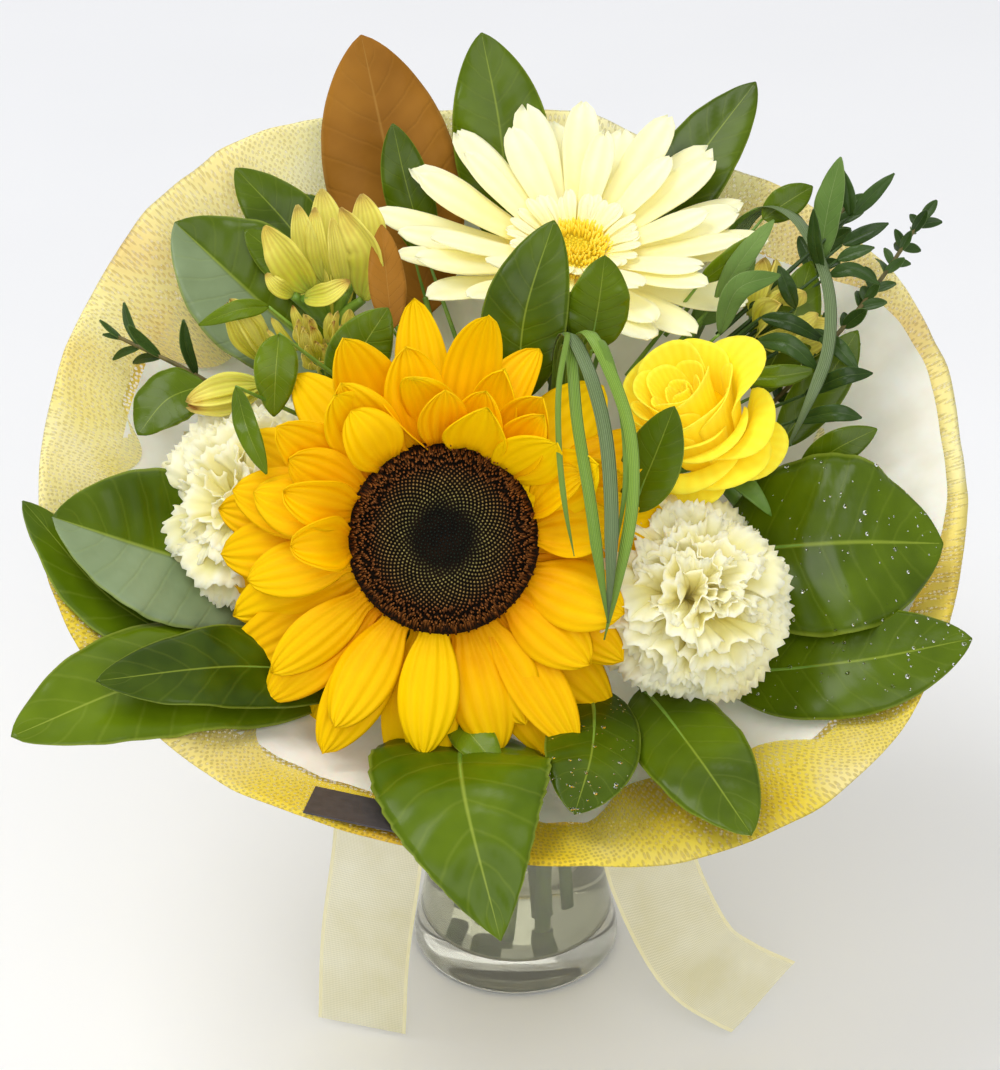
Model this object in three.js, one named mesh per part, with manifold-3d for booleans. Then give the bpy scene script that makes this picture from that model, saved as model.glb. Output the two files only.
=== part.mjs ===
// A hand-tied posy of cut flowers in a glass vase, in millimetres.
// The origin is the middle of the vase's underside, +Z is up and the posy leans forward, towards -Y.
import * as THREE from "three";
import { ParametricGeometry } from "three/addons/geometries/ParametricGeometry.js";
import { mergeVertices } from "three/addons/utils/BufferGeometryUtils.js";
import Module from "manifold-3d";

const wasm = await Module();
wasm.setup();

// Driving dimensions.
const GAP = 0.4; // clearance between pieces that touch
const VASE_HEIGHT = 148;
const VASE_FOOT_RADIUS = 39.5;
const VASE_WAIST_RADIUS = 33.5;
const GLASS = 3; // wall of the vase
const VASE_FLOOR = 11; // the base is one thick lens of glass
const WATER_LEVEL = 96;
const TIE_Z = 160; // where the stems are bound
const TIE_LOW_Z = 148;
const STALK_RING = 13.5; // leaf stalks stand round the flower stems at the tie
const STALK_RADIUS = 1;
const STALK_FOOT_Z = 138;
const STEM_FOOT_Z = 14;
const SPREAD_IN_WATER = 1.7; // how much further apart the stems stand at their feet than at the tie
const SPIRAL = -0.9; // how far the feet are turned round from the tie, in radians
const COLLAR_CENTRE = [-2.5, -26, 231];
const COLLAR_RADIUS = 163.5;
const COLLAR_TILT = 0.386; // towards the front
const COLLAR_ROLL = 0.1; // towards the right
const NECK_RADIUS = 18.5; // of the gathered wrap
const NECK_Z = 158;
const RIBBON_WIDTH = 34;

const root = new THREE.Group();
root.name = "bunch_of_sunflowers";

const point = ([x, y, z]) => new THREE.Vector3(x, y, z);

// --- Solids ----------------------------------------------------------------------------------

function merged(geometry) {
  const bare = geometry.clone();
  bare.deleteAttribute("normal");
  bare.deleteAttribute("uv");
  return mergeVertices(bare, 1e-4);
}

function solidOf(geometry) {
  const shape = merged(geometry);
  const triVerts = new Uint32Array(shape.index.array);
  const vertProperties = new Float32Array(shape.attributes.position.array);
  let solid = new wasm.Manifold(new wasm.Mesh({ numProp: 3, vertProperties, triVerts }));
  if (solid.volume() < 0) {
    for (let i = 0; i < triVerts.length; i += 3) {
      [triVerts[i + 1], triVerts[i + 2]] = [triVerts[i + 2], triVerts[i + 1]];
    }
    solid = new wasm.Manifold(new wasm.Mesh({ numProp: 3, vertProperties, triVerts }));
  }
  return solid;
}

function geometryOf(solid) {
  const mesh = solid.getMesh();
  const positions = new Float32Array(mesh.numVert * 3);
  for (let i = 0; i < mesh.numVert; i++) {
    for (let k = 0; k < 3; k++) {
      positions[3 * i + k] = mesh.vertProperties[i * mesh.numProp + k];
    }
  }
  const geometry = new THREE.BufferGeometry();
  geometry.setAttribute("position", new THREE.BufferAttribute(positions, 3));
  geometry.setIndex(new THREE.BufferAttribute(new Uint32Array(mesh.triVerts), 1));
  return geometry;
}

const outward = (geometry) => geometryOf(solidOf(geometry));

function joined(geometries) {
  const solids = geometries.map(solidOf);
  return geometryOf(solids.reduce((whole, solid) => whole.add(solid)));
}

// The geometry with every vertex moved out along its normal.
function swollen(geometry, by) {
  const shape = merged(geometry);
  shape.computeVertexNormals();
  const { position, normal } = shape.attributes;
  for (let i = 0; i < position.count; i++) {
    const x = position.getX(i) + normal.getX(i) * by;
    const y = position.getY(i) + normal.getY(i) * by;
    const z = position.getZ(i) + normal.getZ(i) * by;
    position.setXYZ(i, x, y, z);
  }
  return shape;
}

// Takes the room that other pieces need out of a mesh, and keeps its largest part.
function makeRoom(mesh, others, clearance = GAP) {
  root.updateMatrixWorld(true);
  const intoMesh = mesh.matrixWorld.clone().invert();
  let solid = solidOf(mesh.geometry);
  for (const other of others) {
    const own = outward(other.geometry);
    for (const shape of [own, outward(swollen(own, clearance))]) {
      shape.applyMatrix4(other.matrixWorld.clone().premultiply(intoMesh));
      solid = solid.subtract(solidOf(shape));
    }
  }
  const bodies = solid.decompose().sort((a, b) => b.volume() - a.volume());
  mesh.geometry = geometryOf(bodies[0]);
}

// --- Shapes ----------------------------------------------------------------------------------

// The direction at place v of a list of directions spread evenly over 0 to 1, or the one given.
function blended(directions, v) {
  if (!Array.isArray(directions[0])) return point(directions);
  const place = Math.min(v, 0.9999) * (directions.length - 1);
  const first = Math.floor(place);
  return point(directions[first]).lerp(point(directions[first + 1]), place - first);
}

// Splits the chosen squares of a gridded surface along their other diagonal. The two skins of a thin
// sheet are split alike in this way, and never cross.
function splitAlike(geometry, chosen) {
  const corners = geometry.index.array;
  for (let i = 0; i < corners.length; i += 6) {
    const [a, b, d, , c] = corners.slice(i, i + 6);
    if (chosen(i / 6)) corners.set([a, b, c, a, c, d], i);
  }
  return outward(geometry);
}

// A surface swept along a curve. `half` gives the section's half width and half thickness at a place
// along it, and the two ends close in a point. The section lies across `sideAt`, or faces `facing`.
// A positive fold lifts the edges above the middle.
function swept({ curve, at, half, facing, sideAt, fold = 0, slices = 4, stacks = 12 }) {
  const shape = (u, v, target) => {
    const place = THREE.MathUtils.clamp(at ? at(v) : v, 0, 1);
    const [wide, thick] = half(v);
    const tangent = curve.getTangent(place);
    const side = sideAt ? sideAt(v, tangent) : tangent.clone().cross(blended(facing, v));
    side.addScaledVector(tangent, -side.dot(tangent)).normalize();
    const up = side.clone().cross(tangent);
    const angle = 2 * Math.PI * (u % 1);
    const across = wide * Math.cos(angle);
    target.copy(curve.getPoint(place));
    target.addScaledVector(side, across);
    target.addScaledVector(up, thick * Math.sin(angle) + fold * Math.abs(across));
  };
  return splitAlike(new ParametricGeometry(shape, slices, stacks), (square) => square % slices < slices / 2);
}

const through = (points) => new THREE.CatmullRomCurve3(points.map(point), false, "centripetal");

// A round rod with flat ends.
function rod(points, radius, slices = 7, stacks = 11) {
  const step = 1 / stacks;
  const at = (v) => THREE.MathUtils.clamp((v - step) / (1 - 2 * step), 0, 1);
  const half = (v) => (v < step / 2 || v > 1 - step / 2 ? [0, 0] : [radius, radius]);
  return swept({ curve: through(points), at, half, facing: [0.31, 0.93, 0.2], slices, stacks });
}

function turned(profile, segments = 24) {
  return outward(new THREE.LatheGeometry(profile.map(([r, z]) => new THREE.Vector2(r, z)), segments)
    .rotateX(Math.PI / 2));
}

// Scales a turned shape's outline with the angle round its axis, more towards its rim.
function lobed(geometry, lobes, depth, rim) {
  const position = geometry.attributes.position;
  for (let i = 0; i < position.count; i++) {
    const x = position.getX(i);
    const y = position.getY(i);
    const share = Math.min(1, Math.hypot(x, y) / rim);
    const scale = 1 + depth * share * Math.cos(lobes * Math.atan2(y, x));
    position.setXY(i, x * scale, y * scale);
  }
  return geometry;
}

// --- Placing ---------------------------------------------------------------------------------

function finish(colour, roughness, extra = {}) {
  return new THREE.MeshStandardMaterial({ color: colour, roughness, metalness: 0, ...extra });
}

function add(name, geometry, material, parent = root) {
  const mesh = new THREE.Mesh(geometry, material);
  mesh.name = name;
  parent.add(mesh);
  return mesh;
}

// A group whose own +Z looks along `axis`.
function head(place, axis) {
  const group = new THREE.Group();
  group.position.copy(point(place));
  group.quaternion.setFromUnitVectors(new THREE.Vector3(0, 0, 1), point(axis).normalize());
  root.add(group);
  return group;
}

// The foot of a stem in the water: bound stems are laid in a spiral.
function footOf([x, y], z) {
  const turnedX = x * Math.cos(SPIRAL) - y * Math.sin(SPIRAL);
  const turnedY = x * Math.sin(SPIRAL) + y * Math.cos(SPIRAL);
  return [SPREAD_IN_WATER * turnedX, SPREAD_IN_WATER * turnedY, z];
}

// A stalk's way up through the tie.
const bound = ([x, y]) => [[x, y, STALK_FOOT_Z], [x, y, TIE_LOW_Z], [x, y, TIE_Z]];

// A stem's way from its foot up through the tie.
const stood = (tie, z = STEM_FOOT_Z) => [footOf(tie, z), [...tie, TIE_LOW_Z], [...tie, TIE_Z]];

// The stem from its foot through the tie to the back of a head, where it meets it squarely.
function stemTo(group, depth, tie, radius, bend = 30) {
  group.updateMatrixWorld(true);
  const back = (d) => group.localToWorld(new THREE.Vector3(0, 0, -d)).toArray();
  return rod([...stood(tie), back(depth + bend), back(depth)], radius, 7, 15);
}

// --- Vase ------------------------------------------------------------------------------------

const GLASS_FINISH = finish(0xe8efec, 0.05, { transparent: true, opacity: 0.35 });
const outerGlass = [
  [VASE_FOOT_RADIUS - 3, 0],
  [VASE_FOOT_RADIUS - 0.8, 1.2],
  [VASE_FOOT_RADIUS, 4],
  [VASE_FOOT_RADIUS - 1.4, 11],
  [VASE_FOOT_RADIUS - 4.2, 24],
  [VASE_WAIST_RADIUS, 48],
  [VASE_WAIST_RADIUS - 1, 90],
  [VASE_WAIST_RADIUS, VASE_HEIGHT - 12],
  [VASE_WAIST_RADIUS + 1.5, VASE_HEIGHT - 1],
];
const innerWall = [
  [VASE_WAIST_RADIUS + 1.5 - GLASS, VASE_HEIGHT],
  [VASE_WAIST_RADIUS - GLASS, VASE_HEIGHT - 12],
  [VASE_WAIST_RADIUS - 1 - GLASS, 90],
  [VASE_WAIST_RADIUS - GLASS, 48],
  [VASE_FOOT_RADIUS - 4.2 - GLASS, 24],
  [VASE_FOOT_RADIUS - 7, VASE_FLOOR + 2],
  [VASE_FOOT_RADIUS - 11, VASE_FLOOR],
];
add("glass_vase", turned([[0, 0], ...outerGlass, ...innerWall, [0, VASE_FLOOR]], 30), GLASS_FINISH);

const waterOutline = innerWall
  .filter(([, z]) => z < WATER_LEVEL)
  .map(([r, z]) => [r - GAP, z > VASE_FLOOR ? z : z + GAP])
  .reverse();
const water = add(
  "vase_water",
  turned([[0, VASE_FLOOR + GAP], ...waterOutline,
    [VASE_WAIST_RADIUS - 1 - GLASS - GAP, WATER_LEVEL], [0, WATER_LEVEL]], 30),
  finish(0xdfe8e0, 0.02, { transparent: true, opacity: 0.3 }),
);

// --- Wrap ------------------------------------------------------------------------------------

const collarAxis = point([
  Math.sin(COLLAR_ROLL),
  -Math.sin(COLLAR_TILT) * Math.cos(COLLAR_ROLL),
  Math.cos(COLLAR_TILT) * Math.cos(COLLAR_ROLL),
]).normalize();
const collarRight = new THREE.Vector3(0, 1, 0).cross(collarAxis).normalize();
const collarBack = collarAxis.clone().cross(collarRight);

// The rim has four shallow corners.
const rimRadius = (angle) => COLLAR_RADIUS + 4 * Math.cos(4 * (angle - 0.66));

// A place on the wrap: `out` runs from 0 at the neck to 1 at the rim, `lift` is above the surface.
function onCollar(angle, out, lift, target) {
  const rim = point(COLLAR_CENTRE);
  rim.addScaledVector(collarRight, rimRadius(angle) * Math.cos(angle));
  rim.addScaledVector(collarBack, rimRadius(angle) * Math.sin(angle));
  const neck = new THREE.Vector3(NECK_RADIUS * Math.cos(angle), NECK_RADIUS * Math.sin(angle), NECK_Z);
  const wave = 1.3 * Math.cos(8 * angle) * out;
  target.copy(neck).lerp(rim, out);
  target.addScaledVector(collarAxis, lift + wave - 5 * Math.sin(Math.PI * out));
}

// `section` is a closed outline of [out, lift] places, and the sheet follows it all round.
function sheet(section, slices) {
  const loop = [...section, section[0]];
  const shape = (u, v, target) => {
    const place = Math.round(v * section.length);
    onCollar(2 * Math.PI * (u % 1), loop[place][0], loop[place][1], target);
  };
  return outward(new ParametricGeometry(shape, slices, section.length));
}

const LINER = [[0, 2.2], [0.45, 2.6], [0.84, 2.6], [0.84, 3.4], [0.45, 3.4], [0, 3]];
const NETTING = [[0, 0], [0.45, 0], [0.9, 0], [1, -1], [1.012, 1], [1, 3], [0.88, 3], [0.88, 1.2],
  [0.45, 1.2], [0, 1.2]];
const liner = add("wrap_liner", sheet(LINER, 40), finish(0xf4efe2, 0.9));
const netting = add("wrap_netting", sheet(NETTING, 40), finish(0xe8d84a, 0.8));

const TAG = { angle: -1.84, width: 42, height: 19, thick: 0.6, out: 0.94, lift: 6.2 };
const tagCorner = new THREE.Vector3();
const tagAcross = new THREE.Vector3();
onCollar(TAG.angle, TAG.out, TAG.lift, tagCorner);
onCollar(TAG.angle + 0.1, TAG.out, TAG.lift, tagAcross);
tagAcross.sub(tagCorner).normalize();
const tagUp = new THREE.Vector3();
onCollar(TAG.angle, TAG.out - 0.1, TAG.lift, tagUp);
tagUp.sub(tagCorner);
const tagFace = tagAcross.clone().cross(tagUp).normalize();
tagUp.copy(tagFace).cross(tagAcross);
const tagCard = outward(new THREE.BoxGeometry(TAG.width, TAG.height, TAG.thick));
const tag = add("wrap_tag", tagCard, finish(0x4a4648, 0.6));
tag.quaternion.setFromRotationMatrix(new THREE.Matrix4().makeBasis(tagAcross, tagUp, tagFace));
tag.position.copy(tagCorner);

// --- Tie and ribbon --------------------------------------------------------------------------

const band = (inner, outer, low, high) =>
  turned([[inner, low], [outer, low], [outer, high], [inner, high], [inner, low]], 36);
add("stem_binding", band(14.9, 16.2, 149, 158), finish(0x8d9a5b, 0.8));

const ribbonFinish = finish(0xefe7ae, 0.5);
add("ribbon_band", band(16.8, 17.8, 146, 156), ribbonFinish);
add("ribbon_knot", turned([[0, -5.5], [5, -4.5], [6.5, 0], [5, 4.5], [0, 5.5]], 14), ribbonFinish)
  .position.set(1, -24.8, 151.5);

// A ribbon end that leaves the knot gathered and opens to its full width.
function ribbonTail(name, points, facing) {
  const stacks = 15;
  const at = (v) => (v - 1 / stacks) / (1 - 2 / stacks);
  const half = (v) => {
    if (v < 0.5 / stacks || v > 1 - 0.5 / stacks) return [0, 0];
    return [RIBBON_WIDTH / 2 * Math.min(1, 0.2 + 2.4 * v), 0.4];
  };
  return add(name, swept({ curve: through(points), at, half, facing, slices: 4, stacks }), ribbonFinish);
}

ribbonTail("ribbon_tail_left",
  [[-5.3, -27.3, 151], [-24, -37, 152], [-41, -47, 141], [-49, -55, 108], [-51, -57, 82], [-56, -58, 40],
    [-58, -58, 1.2]],
  [[-0.1, -0.2, 1], [-0.3, -0.7, 0.7], [-0.25, -1, 0.2], [-0.25, -1, 0.2]]);
ribbonTail("ribbon_tail_right",
  [[7.3, -27.3, 151], [25, -36, 152], [41, -40, 138], [46, -38, 100], [47, -38, 67], [55, -38, 36],
    [69, -40, 10], [91, -46, 1.2]],
  [[0.1, -0.2, 1], [0.2, -0.4, 0.9], [0.25, -0.75, 0.6], [0.1, -1, 0.2], [0, -1, 0.2], [-0.1, -0.9, 0.5],
    [-0.05, -0.2, 1], [0, 0.05, 1]]);

// --- Sunflower -------------------------------------------------------------------------------

// A row of petals that grew together at their roots: a thin dish whose rim is notched between the petals.
// `rise` lists the [radius, height] of its upper side from the middle outwards.
function petalRow({ count, rise, thick, notch, turn = 0, slicesEach = 4 }) {
  const upper = rise.map(([r, z]) => [r, z]);
  const lower = rise.map(([r, z]) => [r, z - thick]).reverse();
  const section = [...upper, ...lower];
  const [rootRadius] = rise[0];
  const [tipRadius] = rise[rise.length - 1];
  const shape = (u, v, target) => {
    const [r, z] = section[Math.round(v * section.length) % section.length];
    const angle = 2 * Math.PI * (u % 1);
    const between = Math.abs(Math.sin(count * angle / 2)) ** 1.6;
    const outness = ((r - rootRadius) / (tipRadius - rootRadius)) ** 2;
    const reach = r * (1 - notch * between * outness);
    target.set(reach * Math.cos(angle + turn), reach * Math.sin(angle + turn), z);
  };
  const around = count * slicesEach;
  const geometry = new ParametricGeometry(shape, around, section.length);
  return splitAlike(geometry, (square) => square < (rise.length - 1) * around);
}

const leafGreen = finish(0x3f7a1f, 0.45);
const stemGreen = finish(0x6f9a3c, 0.6);

const sunflower = head([-25, -96, 245], [0.015, -0.84, 0.545]);
const seedDisc = turned([[0, -3], [30, -3], [32, -1], [32.2, 3], [28, 6], [20, 6.6], [9, 4.6], [0, 4]], 30);
add("sunflower_disc", seedDisc, finish(0x3a2413, 0.95), sunflower);
const sunFront = add("sunflower_petals_front", petalRow({
  count: 16, rise: [[20, -3.5], [33.5, -3.8], [46, 1], [66, 1.5]], thick: 1.4, notch: 0.25,
}), finish(0xffc107, 0.55), sunflower);
const sunBack = add("sunflower_petals_back", petalRow({
  count: 18, rise: [[20, -5.6], [36, -6.4], [52, -6.8], [73, -10]], thick: 1.6, notch: 0.22, turn: 0.1,
}), finish(0xf5a800, 0.55), sunflower);
add("sunflower_receptacle",
  turned([[0, -24], [6, -24], [10, -21.5], [24, -15], [31, -11], [33, -9], [0, -9]], 24), leafGreen,
  sunflower);
add("sunflower_stem", stemTo(sunflower, 24.4, [-1, -5], 4), stemGreen);

// --- Gerbera ---------------------------------------------------------------------------------

const gerbera = head([23, 36, 284], [0.02, -0.15, 0.99]);
const gerberaEye = turned([[0, -0.6], [10.5, -0.6], [12, 1.5], [11, 4.5], [6, 6.2], [0, 5.4]], 24);
add("gerbera_eye", gerberaEye, finish(0xf2d44a, 0.9), gerbera);
add("gerbera_petals_short", petalRow({
  count: 14, rise: [[6, -1.1], [13, -1], [30, 7], [52, 16]], thick: 1, notch: 0.3, slicesEach: 3,
}), finish(0xf7f3c6, 0.6), gerbera);
add("gerbera_petals_long", petalRow({
  count: 20, rise: [[6, -2.8], [14, -3], [38, 3], [68, 13]], thick: 1, notch: 0.22, turn: 0.15, slicesEach: 3,
}), finish(0xf5f0bc, 0.6), gerbera);
add("gerbera_cup",
  turned([[0, -17], [3, -17], [8, -12], [11.5, -6.5], [11.5, -4.9], [0, -4.9]], 16), leafGreen, gerbera);
add("gerbera_stem", stemTo(gerbera, 17.4, [1, 4.2], 2.75), stemGreen);

// --- Rose ------------------------------------------------------------------------------------

const rose = head([58, -42, 260], [-0.36, -0.22, 0.9]);
const roseHeart = turned([[0, -14], [8, -13], [15, -5], [17, 4], [15, 12], [9, 16], [0, 17]], 20);
add("rose_heart", lobed(roseHeart, 5, 0.03, 17), finish(0xf7e23a, 0.6), rose);
const roseCupOutline = [[0, -20], [11, -19], [22, -12], [28, -1], [31.5, 8], [30, 9.6], [24, 6], [18.4, 5.5],
  [16.2, -5.3], [8.8, -14.2], [0, -15]];
const roseOpen = lobed(turned(roseCupOutline, 25), 5, 0.05, 30);
const rosePetals = add("rose_petals", roseOpen, finish(0xf5e030, 0.6), rose);
add("rose_cup",
  turned([[0, -32], [2.8, -32], [6, -29], [7, -24], [8.5, -20.9], [0, -20.9]], 14), leafGreen, rose);
add("rose_stem", stemTo(rose, 32.4, [7.4, 0], 2.4), stemGreen);

// --- Carnations ------------------------------------------------------------------------------

// A ball of ruffles, flatter behind than in front.
function ruffles(radius, depth) {
  const shape = (u, v, target) => {
    const round = 2 * Math.PI * (u % 1);
    const tip = Math.PI * v;
    const r = radius * (1 + 0.05 * Math.sin(tip) * Math.cos(8 * round));
    const reach = r * Math.sin(tip);
    const rise = depth * (tip > Math.PI / 2 ? 0.85 : 0.62);
    target.set(reach * Math.cos(round), reach * Math.sin(round), -rise * Math.cos(tip));
  };
  return outward(new ParametricGeometry(shape, 24, 8));
}

function carnation({ side, place, axis, tie, radius, depth, colour }) {
  const group = head(place, axis);
  const bloom = add(`carnation_${side}_bloom`, ruffles(radius, depth), finish(colour, 0.85), group);
  const tube = turned([[0, -50], [2.6, -50], [6, -46], [6.6, -33], [8, -24], [0, -24]], 14);
  const cup = add(`carnation_${side}_tube`, tube, leafGreen, group);
  add(`carnation_${side}_stem`, stemTo(group, 50.4, tie, 1.9, 12), stemGreen);
  makeRoom(cup, [bloom]);
  return { bloom, cup };
}

const carnationRight = carnation({
  side: "right", place: [58, -92, 220], axis: [0.3, -0.6, 0.74], tie: [6.9, -7.4], radius: 31, depth: 34,
  colour: 0xede7b8,
});
const carnationLeft = carnation({
  side: "left", place: [-92, -60, 235], axis: [-0.42, -0.6, 0.68], tie: [-8, -3.6], radius: 34, depth: 32,
  colour: 0xf2efd8,
});

// --- Alstroemeria ----------------------------------------------------------------------------

// A bud on its stalk: a spindle from `base` to `tip` whose stalk starts at `from`.
function bud(from, base, tip, width, facing = [0, -0.8, 0.6]) {
  const half = (v) => {
    const s = Math.max(0, (v - 0.4) / 0.6);
    const r = v === 0 || v === 1 ? 0 : 0.9 + (width / 2 - 0.9) * Math.sin(Math.PI * Math.min(1, s ** 0.8));
    return [r, r];
  };
  const at = (v) => (v < 0.4 ? v * 1.25 : 0.5 + (v - 0.4) / 1.2);
  return swept({ curve: through([from, base, tip]), at, half, facing, slices: 6, stacks: 10 });
}

const UMBEL_LEFT = [-62, -12, 250];
const umbel = (x, y, z) => [UMBEL_LEFT[0] + x, UMBEL_LEFT[1] + y, UMBEL_LEFT[2] + z];
add("alstroemeria_left_stem",
  rod([...stood([-6.4, 3.4], 22), [-34, -3, 205], umbel(0, 0, -1)], 1.8, 7, 15), stemGreen);
const budGreen = finish(0xb9b83a, 0.55);
add("alstroemeria_left_flower", joined([
  bud(umbel(0.3, 0.7, -0.28), [-66, 6, 268], [-62, 14, 302], 15),
  bud(umbel(0.3, 0.7, -0.28), [-68, 4, 266], [-80, 10, 298], 13),
  bud(umbel(0.3, 0.7, -0.28), [-67, 8, 267], [-74, 26, 297], 12),
]), budGreen);
add("alstroemeria_left_seed_head", joined([
  bud(umbel(0.5, -0.9, -0.46), [-66, -16, 262], [-66, -18, 280], 12),
  bud(umbel(0.5, -0.9, -0.46), [-63, -17, 262], [-56, -22, 280], 10),
]), budGreen);
add("alstroemeria_left_bud_low",
  bud(umbel(-1.1, -0.5, -1.36), [-86, -36, 268], [-114, -38, 262], 12), budGreen);
add("alstroemeria_left_bud_high",
  bud(umbel(-0.6, 0.9, -0.77), [-88, -8, 262], [-100, -6, 284], 11), budGreen);
add("alstroemeria_right_flower", joined([
  rod([...stood([6.4, 5.6], 20), [62, 14, 218], [84, 20, 250]], 1.8, 7, 15),
  bud([83, 20, 248], [86, 18, 256], [100, 8, 274], 15),
  bud([83, 20, 248], [84, 26, 260], [88, 34, 280], 12),
]), finish(0xc4c24a, 0.55));

// --- Box sprigs ------------------------------------------------------------------------------

// A twig with oval leaves that turn round it, and one at its tip.
function sprig(points, leaves, from, size) {
  const curve = through(points);
  const pieces = [rod(points, 1, 5, 16)];
  for (let i = 0; i <= leaves; i++) {
    const place = Math.min(0.985, from + (1 - from) * i / leaves);
    const base = curve.getPoint(place);
    const along = curve.getTangent(place);
    const side = along.clone().cross(new THREE.Vector3(0, 0, 1)).normalize();
    const up = side.clone().cross(along);
    const angle = 2.3 * i;
    const away = along.clone().multiplyScalar(i === leaves ? 1.6 : 0.8);
    away.addScaledVector(side, Math.cos(angle)).addScaledVector(up, Math.sin(angle)).normalize();
    const tip = base.clone().addScaledVector(away, size * (1 - 0.25 * i / leaves));
    const leaf = new THREE.LineCurve3(base, tip);
    const half = (v) => [size / 4 * Math.sin(Math.PI * v ** 0.8), v === 0 || v === 1 ? 0 : 0.4];
    pieces.push(swept({ curve: leaf, half, facing: along.toArray(), slices: 4, stacks: 3 }));
  }
  return joined(pieces);
}

const boxGreen = finish(0x2f4f26, 0.5);
add("box_sprig_back",
  sprig([...bound([10.1, 9.1]), [66, 28, 224], [100, 40, 262], [118, 62, 284]],
    10, 0.68, 17), boxGreen);
add("box_sprig_right",
  sprig([...bound([11.6, 1.6]), [74, 4, 218], [118, 20, 262], [147, 62, 281]],
    11, 0.66, 15), boxGreen);
add("box_sprig_left",
  sprig([...bound([-10, 0.8]), [-62, 6, 206], [-112, -6, 254], [-140, 4, 264]],
    7, 0.72, 14), boxGreen);

// --- Looped grass ----------------------------------------------------------------------------

function grass(name, points, width) {
  const half = (v) => {
    const wide = Math.max(0.9, width / 2 * Math.min(1, 4 * v - 1));
    return v === 0 || v === 1 ? [0, 0] : [wide, 0.8];
  };
  const sideAt = () => new THREE.Vector3(1, 0, 0);
  add(name, swept({ curve: through(points), half, sideAt, stacks: 24 }), finish(0x4d7a3a, 0.5));
}

grass("grass_loop_centre",
  [...bound([3.4, -0.7]), [14, -38, 248], [20, -56, 296], [23, -70, 303], [25, -84, 290], [28, -108, 250],
    [29, -122, 231]], 7);
grass("grass_loop_right",
  [...bound([1.4, 10]), [58, 38, 232], [88, 68, 278], [102, 60, 288], [111, 34, 280], [110, 0, 262],
    [94, -28, 244]], 5);

// --- Leaves ----------------------------------------------------------------------------------

// A blade from `base` to `tip` over `mid`, on a stalk that comes up from its place on the ring round
// the stems, `ring` degrees round from +X, or from `tie` among them.
function leaf(name, { base, mid, tip, width, facing, ring, tie, colour = 0x3f7a1f, fold = 0.1 }) {
  const angle = THREE.MathUtils.degToRad(ring ?? 0);
  const [x, y] = tie ?? [STALK_RING * Math.cos(angle), STALK_RING * Math.sin(angle)];
  const curve = through([...bound([x, y]), base, mid, tip]);
  const stacks = 15;
  const bladeFrom = 7 / stacks; // the rows of the stalk come first
  const baseAt = 3 / 5; // where the blade begins along the curve
  const at = (v) => {
    if (v < bladeFrom) return Math.max(0, v - 1 / stacks) / (bladeFrom - 1 / stacks) * baseAt;
    return baseAt + (v - bladeFrom) / (1 - bladeFrom) * (1 - baseAt);
  };
  const half = (v) => {
    const s = (v - bladeFrom) / (1 - bladeFrom);
    if (v < 0.5 / stacks || s > 0.99) return [0, 0];
    if (s <= 0) return [STALK_RADIUS, STALK_RADIUS];
    return [Math.max(STALK_RADIUS, width / 2 * 2.55 * s ** 0.62 * (1 - s) ** 0.75), 0.5];
  };
  const acrossBlade = (tangent) => tangent.clone().cross(point(facing)).normalize();
  const acrossStalk = new THREE.Vector3(base[1] - y, x - base[0], 0).normalize();
  if (acrossStalk.dot(acrossBlade(curve.getTangent(baseAt))) < 0) acrossStalk.negate();
  const sideAt = (v, tangent) => {
    const share = THREE.MathUtils.smoothstep(v, bladeFrom - 2 / stacks, bladeFrom + 1 / stacks);
    return acrossStalk.clone().lerp(acrossBlade(tangent), share);
  };
  add(name, swept({ curve, at, half, sideAt, fold, stacks }), finish(colour, 0.35));
}

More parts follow.
